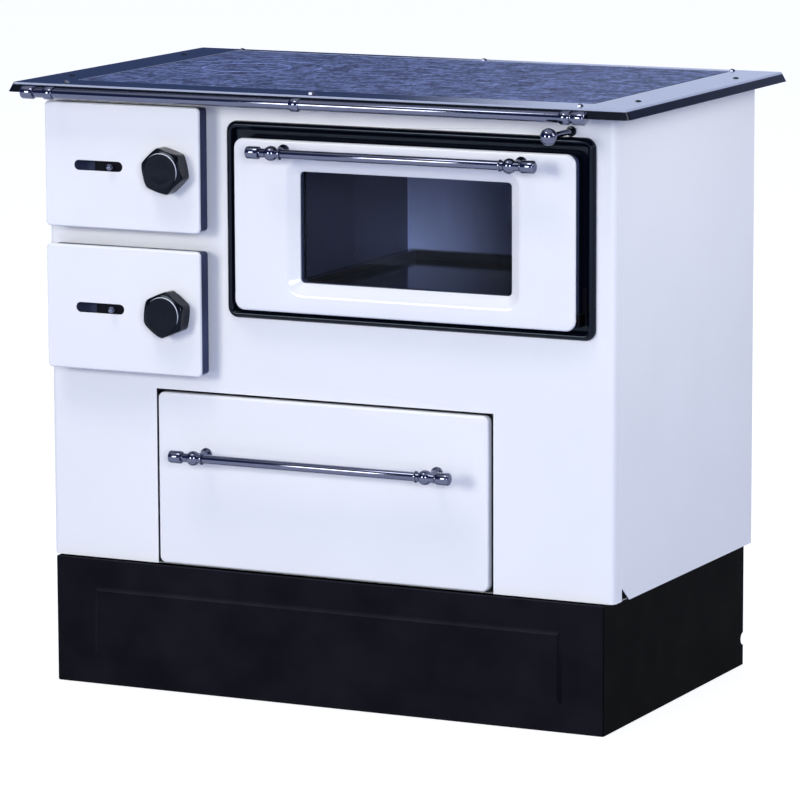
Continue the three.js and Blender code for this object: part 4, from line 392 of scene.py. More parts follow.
def make_finishes():
    """Makes every finish once, under the key that the pieces ask for it by."""
    tint = colours()
    plate_left, plate_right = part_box("cooking_plate_left")[0].x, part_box("cooking_plate_right")[1].x
    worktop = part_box("top_frame")[1].z
    FINISHES.update(
        white_enamel=vitreous_enamel("vitreous_enamel_white", tint.white_enamel, 0.2, {}),
        black_enamel=vitreous_enamel("vitreous_enamel_black", tint.black_enamel, 0.12, cobalt_gloss(0.18)),
        # the worktop's rolled edges get a painted highlight
        worktop_enamel=vitreous_enamel("vitreous_enamel_worktop", tint.black_enamel, 0.12,
                                       cobalt_gloss(0.25), (tint.painted_edge_highlight, worktop - 0.0025)),
        # the last number sets how strong the painted light and shade by facing is
        black_paint=baked_paint("baked_paint_black", tint.plinth_paint, 0.55, cobalt_gloss(0.01), 1.0),
        slate_paint=baked_paint("heatproof_paint_slate", tint.slate_paint, 0.4, cobalt_gloss(0.05), 0.1),
        # the unground black is partly the cast skin and partly painted shade
        ground_iron=ground_cast_iron("cast_iron_ground", tint.ground_iron, tint.iron_streak,
                                     scaled(tint.raw_iron, 0.3), (plate_left + plate_right) / 2,
                                     (plate_right - plate_left) / 2),
        dark_iron=raw_casting("cast_iron_raw", tint.raw_iron),
        chrome=bright_plate("chromium_plated_steel", tint.chrome),
        steel=rolled_zinc("bare_steel_machined", scaled(tint.zinc, 0.8)),
        zinc_sheet=rolled_zinc("galvanised_sheet", tint.zinc),
        # the oven's back sheet carries painted light
        oven_liner=liner_enamel("ground_coat_enamel", tint.oven_liner, tint.painted_oven_back_light,
                                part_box("oven_box")[1].y - 0.003, cobalt_gloss(0.35)),
        fireclay=fired_brick("fireclay_pressed", tint.fireclay),
        # the knobs' button rims carry a painted highlight
        bakelite=moulded_resin("phenolic_resin_moulded", tint.resin, tint.painted_rim_highlight,
                               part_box("fire_door_knob")[0].y, cobalt_gloss(0.13)),
        oven_glass=float_glass("toughened_float_glass"),
    )


# ---------------------------------------------------------------- mesh helpers


def settle(obj, finish, body, nodes=(), angle=32.0):
    """Finishes a piece: material, smooth shading, the body it rides on, the nodes it stands for."""
    obj.data.materials.clear()
    obj.data.materials.append(FINISHES[finish])
    obj.data.shade_smooth()
    obj.data.set_sharp_from_angle(angle=math.radians(angle))
    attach(obj, body)
    if nodes:
        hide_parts(*nodes)
    return obj


def linked(name, data):
    """A new object at the origin, linked to the scene."""
    obj = bpy.data.objects.new(name, data)
    bpy.context.scene.collection.objects.link(obj)
    return obj


def mesh_piece(name, points, faces):
    """A mesh object from points in millimetres in the part's frame, normals outward."""
    mesh = bpy.data.meshes.new(name)
    mesh.from_pydata([Vector(p) * MM for p in points], [], faces)
    shell = bmesh.new()
    shell.from_mesh(mesh)
    bmesh.ops.remove_doubles(shell, verts=shell.verts, dist=1e-6)
    bmesh.ops.recalc_face_normals(shell, faces=shell.faces)
    shell.to_mesh(mesh)
    shell.free()
    return linked(name, mesh)


def block(name, xs, ys, zs):
    """A box between two stations on each axis, in millimetres."""
    points = [(x, y, z) for x in xs for y in ys for z in zs]
    faces = [(0, 1, 3, 2), (4, 6, 7, 5), (0, 4, 5, 1), (2, 3, 7, 6), (0, 2, 6, 4), (1, 5, 7, 3)]
    return mesh_piece(name, points, faces)


def span_of(node):
    """Lowest and highest corner of a CAD node, in millimetres."""
    low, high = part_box(node)
    return low / MM, high / MM


def middle_of(node):
    """Middle of a CAD node's box, in millimetres."""
    low, high = span_of(node)
    return (low + high) / 2


def ring(x0, x1, z0, z1, radius, inset, y):
    """Points round an inset rounded rectangle in a plane facing the front."""
    steps, least_radius = 8, 0.5
    x0, x1, z0, z1 = x0 + inset, x1 - inset, z0 + inset, z1 - inset
    radius = max(radius - inset, least_radius)
    points = []
    for cx, cz, start in ((x1 - radius, z1 - radius, 0), (x0 + radius, z1 - radius, 90),
                          (x0 + radius, z0 + radius, 180), (x1 - radius, z0 + radius, 270)):
        for step in range(steps + 1):
            turn = math.radians(start + 90 * step / steps)
            points.append((cx + radius * math.cos(turn), y, cz + radius * math.sin(turn)))
    return points


def loft(name, rings, closed=False):
    """Skin over rings of equal count, capped at both ends or joined end to end."""
    count = len(rings[0])
    faces = []
    spans = len(rings) if closed else len(rings) - 1
    for span in range(spans):
        low, high = span * count, (span + 1) % len(rings) * count
        for i in range(count):
            j = (i + 1) % count
            faces.append((low + i, low + j, high + j, high + i))
    if not closed:
        faces.append(tuple(range(count)))
        faces.append(tuple(range(len(rings) * count - 1, (len(rings) - 1) * count - 1, -1)))
    return mesh_piece(name, [p for points in rings for p in points], faces)


def turned(name, profile, centre, axis, sides=48):
    """A turned piece: (radius, station) pairs about an axis through a centre, all in millimetres."""
    along = {"x": Vector((1, 0, 0)), "y": Vector((0, 1, 0)), "z": Vector((0, 0, 1))}[axis]
    across = {"x": Vector((0, 1, 0)), "y": Vector((0, 0, 1)), "z": Vector((1, 0, 0))}[axis]
    beside = along.cross(across)
    # a point on the axis keeps a hair's breadth, so that every ring has the same count of points
    hair = 0.002
    spokes = [
        across * math.cos(turn) + beside * math.sin(turn)
        for turn in (2 * math.pi * i / sides for i in range(sides))
    ]
    rings = [
        [Vector(centre) + along * station + spoke * max(radius, hair) for spoke in spokes]
        for radius, station in profile
    ]
    return loft(name, rings, closed=profile[0] == profile[-1])


def arc(centre, radius, start, end, steps):
    """(radius, station) pairs on a circular arc, angles in degrees from the radius direction."""
    turns = [math.radians(start + (end - start) * i / steps) for i in range(steps + 1)]
    return [(centre[0] + radius * math.cos(t), centre[1] + radius * math.sin(t)) for t in turns]


def rolled_edge(roll):
    """(inset, depth) pairs over a rolled edge, from the face to the rim."""
    steps = 7
    turns = [math.radians(90 * i / steps) for i in range(steps + 1)]
    return [(roll - roll * math.sin(t), roll - roll * math.cos(t)) for t in turns]


def carve(obj, *cutters):
    """Cuts cutters out of a piece and removes them."""
    for cutter in cutters:
        modifier = obj.modifiers.new("cut", "BOOLEAN")
        modifier.operation = "DIFFERENCE"
        modifier.solver = "EXACT"
        modifier.object = cutter
    graph = bpy.context.evaluated_depsgraph_get()
    mesh = bpy.data.meshes.new_from_object(obj.evaluated_get(graph))
    obj.modifiers.clear()
    old = obj.data
    obj.data = mesh
    mesh.name = obj.name
    bpy.data.meshes.remove(old)
    for cutter in cutters:
        bpy.data.objects.remove(cutter)
    return obj


def soften(obj, width, segments=2, angle=40.0):
    """Rounds the edges of a piece by a width in millimetres."""
    bevel = obj.modifiers.new("edges", "BEVEL")
    bevel.width = width * MM
    bevel.segments = segments
    bevel.limit_method = "ANGLE"
    bevel.angle_limit = math.radians(angle)
    bevel.miter_outer = "MITER_ARC"
    # large flat faces keep their own normal, so a broad sheet isn't shaded by its small edges
    even = obj.modifiers.new("even shading", "WEIGHTED_NORMAL")
    even.weight = 100
    even.keep_sharp = True
    return obj


def copy_of(node, whole=True):
    """A merged copy of a CAD node, its flat faces whole again unless they hold large openings."""
    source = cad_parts[node]
    mesh = source.data.copy()
    shell = bmesh.new()
    shell.from_mesh(mesh)
    bmesh.ops.remove_doubles(shell, verts=shell.verts, dist=2e-6)
    if whole:
        level = math.radians(0.6)
        bmesh.ops.dissolve_limit(shell, angle_limit=level, verts=shell.verts, edges=shell.edges)
    shell.to_mesh(mesh)
    shell.free()
    return linked(f"{node}_dressed", mesh)


def dress(node, finish, body="stove", edge=0.6, segments=2, whole=True, angle=32.0):
    """A CAD node's own shape with softened edges and its real finish."""
    obj = copy_of(node, whole)
    settle(obj, finish, body, [node], angle)
    if edge:
        soften(obj, edge, segments)
    return obj


def sheet_section(roll, depth):
    """(inset, depth) pairs round a rolled sheet: over its outside, along its rim and back inside."""
    sheet = sizes().sheet
    outside = [*rolled_edge(roll), (0, depth), (sheet, depth)]
    inside = [(inset + sheet, y + sheet) for inset, y in rolled_edge(roll - sheet)]
    return [*outside, *reversed(inside)]


def pressed_cover(name, node, corner, roll):
    """A pressed sheet cover with a rolled edge, filling a CAD cover's box."""
    low, high = span_of(node)
    return loft(name, [
        ring(low.x, high.x, low.z, high.z, corner, inset, low.y + y)
        for inset, y in sheet_section(roll, high.y - low.y)
    ])


# ---------------------------------------------------------------- repeated fixings


def fixings_tree():
    """Node tree that sets one turned head on every face of a mesh, along the face's normal."""
    tree = bpy.data.node_groups.new("fixing_heads", "GeometryNodeTree")
    tree.interface.new_socket("Geometry", in_out="INPUT", socket_type="NodeSocketGeometry")
    for name, default in (("Head Radius", 0.0042), ("Head Height", 0.0022), ("Flange Height", 0.0008)):
        socket = tree.interface.new_socket(name, in_out="INPUT", socket_type="NodeSocketFloat")
        socket.default_value = default
        socket.subtype = "DISTANCE"
    sides = tree.interface.new_socket("Flange Sides", in_out="INPUT", socket_type="NodeSocketInt")
    sides.default_value = 24
    tree.interface.new_socket("Finish", in_out="INPUT", socket_type="NodeSocketMaterial")
    tree.interface.new_socket("Geometry", in_out="OUTPUT", socket_type="NodeSocketGeometry")
    inputs = add(tree, "NodeGroupInput").outputs
    flange = add(tree, "GeometryNodeMeshCylinder", {
        "Vertices": inputs["Flange Sides"], "Radius": inputs["Head Radius"], "Depth": inputs["Flange Height"],
    })
    dome = add(tree, "GeometryNodeMeshUVSphere", {"Segments": 20, "Rings": 10})
    dome_share = 0.84
    radius = add(tree, "ShaderNodeMath", {0: inputs["Head Radius"], 1: dome_share}, operation="MULTIPLY")
    squash = add(tree, "ShaderNodeCombineXYZ", {"X": radius, "Y": radius, "Z": inputs["Head Height"]})
    domed = add(tree, "GeometryNodeTransform", {"Geometry": dome, "Scale": squash})
    head = add(tree, "GeometryNodeJoinGeometry", {0: flange})
    tree.links.new(domed.outputs[0], head.inputs[0])
    normal = add(tree, "GeometryNodeInputNormal")
    facing = add(tree, "FunctionNodeAlignEulerToVector", {"Vector": normal}, axis="Z")
    kept = add(tree, "GeometryNodeCaptureAttribute", {"Geometry": inputs["Geometry"]}, domain="FACE")
    kept.capture_items.new("ROTATION", "Facing")
    tree.links.new(facing.outputs[0], kept.inputs[1])
    seats = add(tree, "GeometryNodeMeshToPoints", {"Mesh": kept}, mode="FACES")
    placed = add(tree, "GeometryNodeInstanceOnPoints", {
        "Points": seats, "Instance": head, "Rotation": kept.outputs[1],
    })
    real = add(tree, "GeometryNodeRealizeInstances", {"Geometry": placed})
    finished = add(tree, "GeometryNodeSetMaterial", {"Geometry": real, "Material": inputs["Finish"]})
    add(tree, "NodeGroupOutput", {0: finished})
    return tree


def fixings(name, places, normal, finish, radius, height, sides=24, flange=0.8):
    """Screw or rivet heads fixed to the body, at places in millimetres, all facing one way."""
    tree = bpy.data.node_groups.get("fixing_heads") or fixings_tree()
    turn = Vector(normal).to_track_quat("Z", "Y").to_matrix()
    half_seat = 0.2
    corners = [Vector(c) * half_seat for c in ((-1, -1, 0), (1, -1, 0), (1, 1, 0), (-1, 1, 0))]
    points = [Vector(place) + turn @ corner for place in places for corner in corners]
    faces = [tuple(range(4 * i, 4 * i + 4)) for i in range(len(places))]
    mesh = bpy.data.meshes.new(name)
    mesh.from_pydata([p * MM for p in points], [], faces)
    seats = linked(f"{name}_seats", mesh)
    modifier = seats.modifiers.new("heads", "NODES")
    modifier.node_group = tree
    chosen = {
        "Head Radius": radius * MM, "Head Height": height * MM, "Flange Height": 2 * flange * MM,
        "Flange Sides": sides, "Finish": FINISHES[finish],
    }
    for socket in tree.interface.items_tree:
        if socket.name in chosen:
            modifier[socket.identifier] = chosen[socket.name]
    graph = bpy.context.evaluated_depsgraph_get()
    made = bpy.data.meshes.new_from_object(seats.evaluated_get(graph))
    bpy.data.objects.remove(seats)
    return settle(linked(name, made), finish, "stove")


# ---------------------------------------------------------------- pieces


class StovePiece:
    """Shared options of the building operators."""

    bl_options = {"REGISTER", "UNDO"}


class STOVE_OT_shell(StovePiece, bpy.types.Operator):
    """Enamelled front and side panels with the plain sheets behind them"""

    bl_idname = "stove.shell"
    bl_label = "Body shell"

    def execute(self, context):
        dress("front_panel", "white_enamel", edge=0.7, whole=False)
        dress("side_panel_left", "white_enamel", edge=0.7)
        dress("side_panel_right", "white_enamel", edge=0.7)
        for node in ("rear_panel", "base_panel", "mid_shelf"):
            dress(node, "zinc_sheet", edge=0.4)
        low, high = span_of("rear_panel")
        from_side, from_end = 12, 25
        rows = [low.z + from_end, (low.z + high.z) / 2, high.z - from_end]
        places = [(x, high.y, z) for z in rows for x in (low.x + from_side, high.x - from_side)]
        places += [(x, high.y, z) for z in (rows[0], rows[2]) for x in (-220, 0, 140)]
        fixings("rear_panel_screws", places, (0, 1, 0), "steel", 4.0, 1.8)
        return {"FINISHED"}


class STOVE_OT_plinth(StovePiece, bpy.types.Operator):
    """Black plinth with its pressed front field"""

    bl_idname = "stove.plinth"
    bl_label = "Plinth"

    def execute(self, context):
        dress("plinth_front", "black_paint", edge=0.9, segments=3, angle=12.0)
        for node in ("plinth_side_left", "plinth_side_right", "plinth_rear"):
            dress(node, "black_paint", edge=0.5)
        return {"FINISHED"}


class STOVE_OT_worktop(StovePiece, bpy.types.Operator):
    """Worktop frame, cooking plates and the hob in the left plate"""

    bl_idname = "stove.worktop"
    bl_label = "Worktop"

    def execute(self, context):
        dress("top_frame", "worktop_enamel", edge=1.9, segments=4)
        for node in ("cooking_plate_left", "cooking_plate_right"):
            dress(node, "ground_iron", edge=0.5)
        self.hob()
        top = span_of("top_frame")[1].z
        rim = [(432, -165, top), (435, 172, top), (-432, -165, top), (-435, 172, top)]
        fixings("worktop_rim_screws", rim, (0, 0, 1), "black_enamel", sizes().screw_head, 1.6)
        rear = [(x, 269.5, top) for x in (-390, 4, 390)]
        fixings("worktop_rear_nuts", rear, (0, 0, 1), "chrome", 4.2, 2.6, sides=6, flange=1.2)
        return {"FINISHED"}

    def hob(self):
        """Ring and lid: discs with a step below to hang by, their top edges broken and a finger notch."""
        thick, step, ledge, broken, bore = 8, 9.0, 3.5, 1.8, 62.5
        for node, bored in (("hob_ring", True), ("hob_lid", False)):
            low, high = span_of(node)
            radius = (high.x - low.x) / 2
            centre = Vector(((low.x + high.x) / 2, low.y + radius, high.z))
            profile = [(radius - step, -thick), (radius - step, -ledge), (radius, -ledge), (radius, -broken),
                       (radius - broken, 0)]
            if bored:
                profile += [(bore + broken, 0), (bore, -broken), (bore, -4), (bore - step, -4),
                            (bore - step, -thick), (radius - step, -thick)]
            else:
                profile = [(0, -thick), *profile, (0, 0)]
            disc = turned(f"{node}_turned", profile, centre, "z", 128)
            notched = radius if bored else radius - 17.5
            through = [(0, -20), (6, -20), (6, 20), (0, 20)]
            carve(disc, turned("notch", through, centre + Vector((0, notched, 0)), "z", 24))
            settle(disc, "ground_iron", node, [node])


class STOVE_OT_bars(StovePiece, bpy.types.Operator):
    """Chromed rail, bar handles and the posts that carry them"""

    bl_idname = "stove.bars"
    bl_label = "Rail and handles"

    def execute(self, context):
        self.bar("rail_bar", "stove", 7.0, 9.2)
        for prefix, body in (("oven", "oven_door"), ("drawer", "drawer")):
            self.bar(f"{prefix}_handle_bar", body, 6.2, 8.7)
            for side in ("left", "right"):
                self.post(f"{prefix}_handle_post_{side}", body)
        for side in ("left", "middle", "right"):
            self.bracket(f"rail_bracket_{side}")
        return {"FINISHED"}

    def bar(self, node, body, radius, cap):
        """A tube with a thicker ferrule, rounded at its end, on both ends."""
        low, high = span_of(node)
        centre = (low + high) / 2
        end = (high.x - low.x) / 2
        ferrule = 20
        start = end - ferrule
        neck = radius - 1.2
        half = [
            (0, end), (cap - 3.6, end - 0.1), (cap - 2.2, end - 0.5), (cap - 1.0, end - 1.2),
            (cap - 0.3, end - 2.2), (cap, end - 3.4), (cap, start + 1.6), (cap - 0.5, start + 0.6),
            (cap - 1.5, start), (neck, start), (neck, start - 1.8), (radius - 0.2, start - 2.2),
            (radius, start - 2.8),
        ]
        profile = [*half, *[(r, -s) for r, s in reversed(half)]]
        settle(turned(f"{node}_turned", profile, centre, "x", 40), "chrome", body, [node])

    def post(self, node, body):
        """A flared foot and a stem with a ball that the bar runs through, and the collar beside it."""
        low, high = span_of(node)
        x, z = (low.x + high.x) / 2, (low.z + high.z) / 2
        ball, stem = 10.3, 4.5
        standoff = high.y - low.y - ball
        start = -math.degrees(math.acos(stem / ball))
        profile = [(0, 0), (8.7, 0), (8.7, 1.4), (8.4, 2.4), (7.6, 3.5), (6.4, 4.6), (5.4, 5.8), (4.8, 7.2),
                   (stem, 9), *arc((0, standoff), ball, start, 90, 16)]
        profile = [(r, -s) for r, s in profile]
        settle(turned(f"{node}_turned", profile, (x, high.y, z), "y", 40), "chrome", body, [node])
        collar = [(6.2, -1.2), (7.6, -1.2), (8.1, -0.6), (8.1, 0.6), (7.6, 1.2), (6.2, 1.2), (6.2, -1.2)]
        inboard = 13.5 if node.endswith("left") else -13.5
        seat = (x + inboard, low.y + ball, z)
        settle(turned(f"{node}_collar", collar, seat, "x", 40), "chrome", body)

    def bracket(self, node):
        """A sleeve round the rail, the strap that holds it to the worktop and the strap's nut."""
        axis, top = middle_of("rail_bar"), span_of("top_frame")[1].z
        x = middle_of(node).x
        bore = 7.0
        sleeve = [(bore, -7), (8.0, -7), (9.2, -5), (9.2, 5), (8.0, 7), (bore, 7), (bore, -7)]
        settle(turned(f"{node}_sleeve", sleeve, (x, axis.y, axis.z), "x", 40), "chrome", "stove", [node])
        half_wide, behind, lower, upper = 4.5, -245, 832.4, 836.4
        strap = block(f"{node}_strap", (x - half_wide, x + half_wide), (axis.y + bore, behind),
                      (lower, upper))
        soften(settle(strap, "chrome", "stove"), 0.8, 3)
        nut = (x, behind - 5, top)
        fixings(f"{node}_nut", [nut], (0, 0, 1), "chrome", 4.6, 3.0, sides=6, flange=1.4)


class STOVE_OT_doors(StovePiece, bpy.types.Operator):
    """Fire door and ash door with their air slides, knobs and latches"""

    bl_idname = "stove.doors"
    bl_label = "Firebox doors"

    def execute(self, context):
        dress("door_hinge_strap", "steel", edge=0.4)
        for prefix, turn in (("fire", 43.0), ("ash", 23.0)):
            self.cover(prefix)
            body = f"{prefix}_door"
            dress(f"{prefix}_door_frame", "slate_paint", body, edge=0.9, segments=3)
            dress(f"{prefix}_door_latch", "steel", f"{prefix}_knob", edge=0.4)
            self.knob(prefix, turn)
            self.slide(prefix)
        dress("fire_door_baffle", "dark_iron", "fire_door", edge=1.5, segments=3)
        return {"FINISHED"}

    def cover(self, prefix):
        """A pressed cover, slotted for the air slide's pin and holed for the knob's spindle."""
        node = f"{prefix}_door_cover"
        low, high = span_of(node)
        cover = pressed_cover(f"{node}_pressed", node, sizes().cover_corner, sizes().cover_roll)
        z = (low.z + high.z) / 2
        slot_x = (low.x + high.x) / 2 - 36.6
        half_long, half_high = 38, 7
        slot = loft("slot", [
            ring(slot_x - half_long, slot_x + half_long, z - half_high, z + half_high, half_high, 0, y)
            for y in (low.y - 5, high.y + 5)
        ])
        hole = [(0, -9), (5.6, -9), (5.6, 9), (0, 9)]
        spindle = turned("spindle", hole, (middle_of(f"{prefix}_door_knob").x, low.y, z), "y", 32)
        carve(cover, slot, spindle)
        soften(settle(cover, "white_enamel", f"{prefix}_door", [node]), 0.35, 2, 50)

    def knob(self, prefix, turn):
        """A six-sided grip with a round button, turned by so many degrees, and the rosette behind it."""
        node = f"{prefix}_door_knob"
        low, high = span_of(node)
        spindle = ((low.x + high.x) / 2, high.y, (low.z + high.z) / 2)
        across, face, depth = sizes().knob_across, sizes().knob_face, high.y - low.y
        flat = across * math.cos(math.radians(30))
        steps = 96
        stations = [(0.0, across - 3), (-1.0, across - 1.2), (-2.5, across)]
        stations += [(-depth + 9.0, across)]
        stations += [(-depth + 9.0 - 6.8 * math.sin(a), face + 0.9 + (across - face - 0.9) * math.cos(a))
                     for a in (math.radians(d) for d in range(10, 91, 10))]
        # a round button stands proud of the six-sided grip, its rim rounded over
        stations += [(-depth + 2.0, face + 0.2), (-depth + 1.0, face), (-depth + 0.5, face - 0.2),
                     (-depth + 0.2, face - 0.6), (-depth + 0.05, face - 1.2), (-depth, face - 2.0),
                     (-depth + 0.4, face * 0.6), (-depth + 0.6, 0.01)]
        rings = []
        for station, reach in stations:
            points = []
            for i in range(steps):
                angle = 360 * i / steps
                off = (angle - turn + 30) % 60 - 30
                side = flat / math.cos(math.radians(30 - abs(off)))
                radius = soft_least(min(side, across - 0.6), reach, 1.6)
                t = math.radians(angle)
                points.append((spindle[0] + radius * math.cos(t), spindle[1] + station,
                               spindle[2] + radius * math.sin(t)))
            rings.append(points)
        settle(loft(f"{node}_moulded", rings), "bakelite", f"{prefix}_knob", [node], angle=50)
        rosette = [(6, 0), (21, 0), (22, -0.12), (22, -0.24), (6, -0.24), (6, 0)]
        seat = (spindle[0], high.y + 0.28, spindle[2])
        settle(turned(f"{prefix}_knob_rosette", rosette, seat, "y", 64), "chrome", f"{prefix}_door")

    def slide(self, prefix):
        """An air slide: the plate behind the cover and the ball pin that stands out through its slot."""
        node = f"{prefix}_air_regulator"
        low, high = span_of(node)
        x, z = (low.x + high.x) / 2, (low.z + high.z) / 2
        body = f"{prefix}_regulator"
        plate_y = high.y
        half_long, half_high, thick = 28, 11, 1.5
        plate = block(f"{node}_plate", (x - half_long, x + half_long), (plate_y - thick, plate_y),
                      (z - half_high, z + half_high))
        settle(plate, "black_paint", body, [node])
        ball = 4.3
        centre = low.y + ball
        profile = [(0, plate_y - 1), (2.4, plate_y - 1), (2.4, centre + 4.4), (3.4, centre + 4.0),
                   *[(r, centre - s) for r, s in arc((0, 0), ball, -50, 90, 12)]]
        settle(turned(f"{node}_pin", profile, (x, 0, z), "y", 32), "chrome", body)


def body_face():
    """Where the body's front lies along Y, in millimetres."""
    return span_of("front_panel")[0].y


def soft_least(a, b, blend):
    """Smaller of two lengths, eased where they meet."""
    h = max(blend - abs(a - b), 0.0) / blend
    return min(a, b) - h * h * blend * 0.25


class STOVE_OT_oven(StovePiece, bpy.types.Operator):
    """Oven surround, glazed door and the liner seen through it"""

    bl_idname = "stove.oven"
    bl_label = "Oven"

    def execute(self, context):
        self.surround()
        self.cover()
        dress("oven_door_frame", "slate_paint", "oven_door", edge=0.8, segments=3)
        dress("oven_door_inner_panel", "black_enamel", "oven_door", edge=0.8)
        dress("oven_door_glass", "oven_glass", "oven_door", edge=0.0)
        dress("oven_box", "oven_liner", edge=1.0, segments=3)
        dress("oven_tray", "black_enamel", edge=0.6)
        for side in ("left", "right"):
            dress(f"oven_hinge_{side}", "black_paint", edge=0.5)
        # the liner's walls stand in from its flange
        wall = span_of("oven_box")[0].x + 18.0
        spots = [(wall, y, 590.5) for y in (-120, -112, 20, 32, 128, 168)]
        fixings("oven_liner_rivets", spots, (1, 0, 0), "oven_liner", 2.6, 1.4)
        screws = [(388, -236.3, z) for z in (578, 598)]
        fixings("surround_screws", screws, (0, -1, 0), "steel", 2.6, 1.4)
        return {"FINISHED"}

    def surround(self):
        """A rounded bead round the oven, turned in over a flat lip to the mouth."""
        node = "oven_surround"
        low, high = span_of(node)
        width = sizes().bead_width
        seat = body_face() - 0.3
        lip, back = -236.0, -234.0
        crest = seat - low.y - 1
        box = (low.x, high.x, low.z, high.z, 15.0)
        mouth = (-87.5, 344.5, 566.0, 772.0, 4.0)
        half = width / 2
        path = [(0, seat), (0, seat - 1)]
        path += [(half - half * math.cos(math.radians(a)), seat - 1 - crest * math.sin(math.radians(a)))
                 for a in range(10, 171, 10)]
        path += [(width + 0.4, seat - 0.6), (width + 1.0, lip - 0.6), (width + 1.9, lip)]
        rings = [ring(*box, inset, y) for inset, y in path]
        rings += [ring(*mouth, -0.8, lip), ring(*mouth, -0.2, lip + 0.2), ring(*mouth, 0, lip + 0.8),
                  ring(*mouth, 0, back), ring(*box, 11.7, back), ring(*box, 11.7, seat)]
        settle(loft("oven_surround_pressed", rings, closed=True), "black_enamel", "stove", [node])

    def cover(self):
        """The oven door's cover: a rolled edge outside, and a curved bevel dished in to the window."""
        node = "oven_door_cover"
        low, high = span_of(node)
        made = sizes()
        sheet, dish, bevel = made.sheet, made.window_dish, made.window_bevel
        box = (low.x, high.x, low.z, high.z, made.oven_corner)
        cx, cz = (low.x + high.x) / 2, (low.z + high.z) / 2 - 1
        half_wide, half_high = 158, 76.35
        window = (cx - half_wide, cx + half_wide, cz - half_high, cz + half_high, made.window_corner)
        rim = 4.0
        rings = [ring(*box, inset, low.y + y) for inset, y in sheet_section(made.cover_roll, rim)]
        path = [(-bevel, sheet), (-1, dish + sheet), (0, dish + sheet), (0, dish + 0.2), (-0.3, dish - 0.4),
                (-1.0, dish - 0.9), (-2.2, dish - 1.6), (-bevel + 4, 2.0), (-bevel + 2.4, 1.1),
                (-bevel + 0.8, 0.45), (-bevel - 0.8, 0.12), (-bevel - 2.6, 0)]
        rings += [ring(*window, inset, low.y + y) for inset, y in path]
        cover = loft("oven_door_cover_pressed", rings, closed=True)
        settle(cover, "white_enamel", "oven_door", [node], angle=60)


class STOVE_OT_drawer(StovePiece, bpy.types.Operator):
    """Fuel drawer: enamelled face, box and runners"""

    bl_idname = "stove.drawer"
    bl_label = "Fuel drawer"

    def execute(self, context):
        made = sizes()
        face = pressed_cover("drawer_front_pressed", "drawer_front", made.drawer_corner, made.drawer_roll)
        settle(face, "white_enamel", "drawer", ["drawer_front"])
        dress("drawer_box", "zinc_sheet", "drawer", edge=0.3)
        for side in ("left", "right"):
            dress(f"drawer_runner_{side}", "zinc_sheet", edge=0.3)
        return {"FINISHED"}


class STOVE_OT_flue(StovePiece, bpy.types.Operator):
    """Flue collar, smoke duct and the damper's pull"""

    bl_idname = "stove.flue"
    bl_label = "Flue and damper"

    def execute(self, context):
        low, high = span_of("flue_collar")
        cx, cz = (low.x + high.x) / 2, (low.z + high.z) / 2
        inner, outer, flange = 57.0, 60.0, 72.0
        seat = span_of("rear_panel")[1].y + 0.3
        profile = [(inner, low.y), (outer, low.y), (outer, seat), (flange - 0.8, seat), (flange, seat + 0.8),
                   (flange, seat + 3.2), (flange - 0.8, seat + 4), (outer + 3, seat + 4.4),
                   (outer + 0.8, seat + 5.4), (outer, seat + 7.4), (outer, high.y - 0.8),
                   (outer - 0.8, high.y), (inner + 0.8, high.y), (inner, high.y - 0.8), (inner, low.y)]
        collar = turned("flue_collar_cast", profile, (cx, 0, cz), "y", 96)
        settle(collar, "dark_iron", "stove", ["flue_collar"])
        dress("flue_box", "zinc_sheet", edge=0.3)
        self.damper()
        return {"FINISHED"}

    def damper(self):
        """A ball on a rod that slides in a bush, and the flap at the rod's inner end."""
        low, high = span_of("damper_rod")
        ball, rod = 11.5, 4.0
        x, z = (low.x + high.x) / 2, (low.z + high.z) / 2
        centre = low.y + ball
        start = math.degrees(math.acos(rod / ball))
        profile = [(0, low.y), *[(r, centre + s) for r, s in arc((0, 0), ball, -84, start - 4, 22)],
                   (5.2, centre + 10.6), (5.4, centre + 11.0), (5.2, centre + 11.4), (rod, centre + 11.7),
                   (rod, high.y - 2.8), (0, high.y - 2.8)]
        settle(turned("damper_rod_turned", profile, (x, 0, z), "y", 48), "chrome", "damper", ["damper_rod"])
        half_wide, half_high, thick = 31, 20, 3
        flap = block("damper_flap", (x - half_wide, x + half_wide), (high.y - thick, high.y),
                     (z - half_high, z + half_high))
        settle(flap, "dark_iron", "damper")
        seat, back, bore = body_face() - 0.3, -232, 4.6
        bush = [(bore, back), (5.8, back), (5.8, seat), (7, seat), (7, seat - 2.3), (6.7, seat - 3.5),
                (5.9, seat - 4.5), (bore, seat - 4.7), (bore, back)]
        settle(turned("damper_bush_turned", bush, (x, 0, z), "y", 48), "black_enamel", "stove",
               ["damper_bush"])


class STOVE_OT_firebox(StovePiece, bpy.types.Operator):
    """Firebox casing with bricks, grate and ash pan"""

    bl_idname = "stove.firebox"
    bl_label = "Firebox"

    def execute(self, context):
        dress("firebox_casing", "dark_iron", edge=0.8)
        for node in ("firebrick_left", "firebrick_right", "firebrick_rear"):
            dress(node, "fireclay", edge=2.0, segments=3)
        dress("grate", "dark_iron", edge=1.2)
        dress("ash_pan", "zinc_sheet", edge=0.3)
        return {"FINISHED"}


# ---------------------------------------------------------------- studio


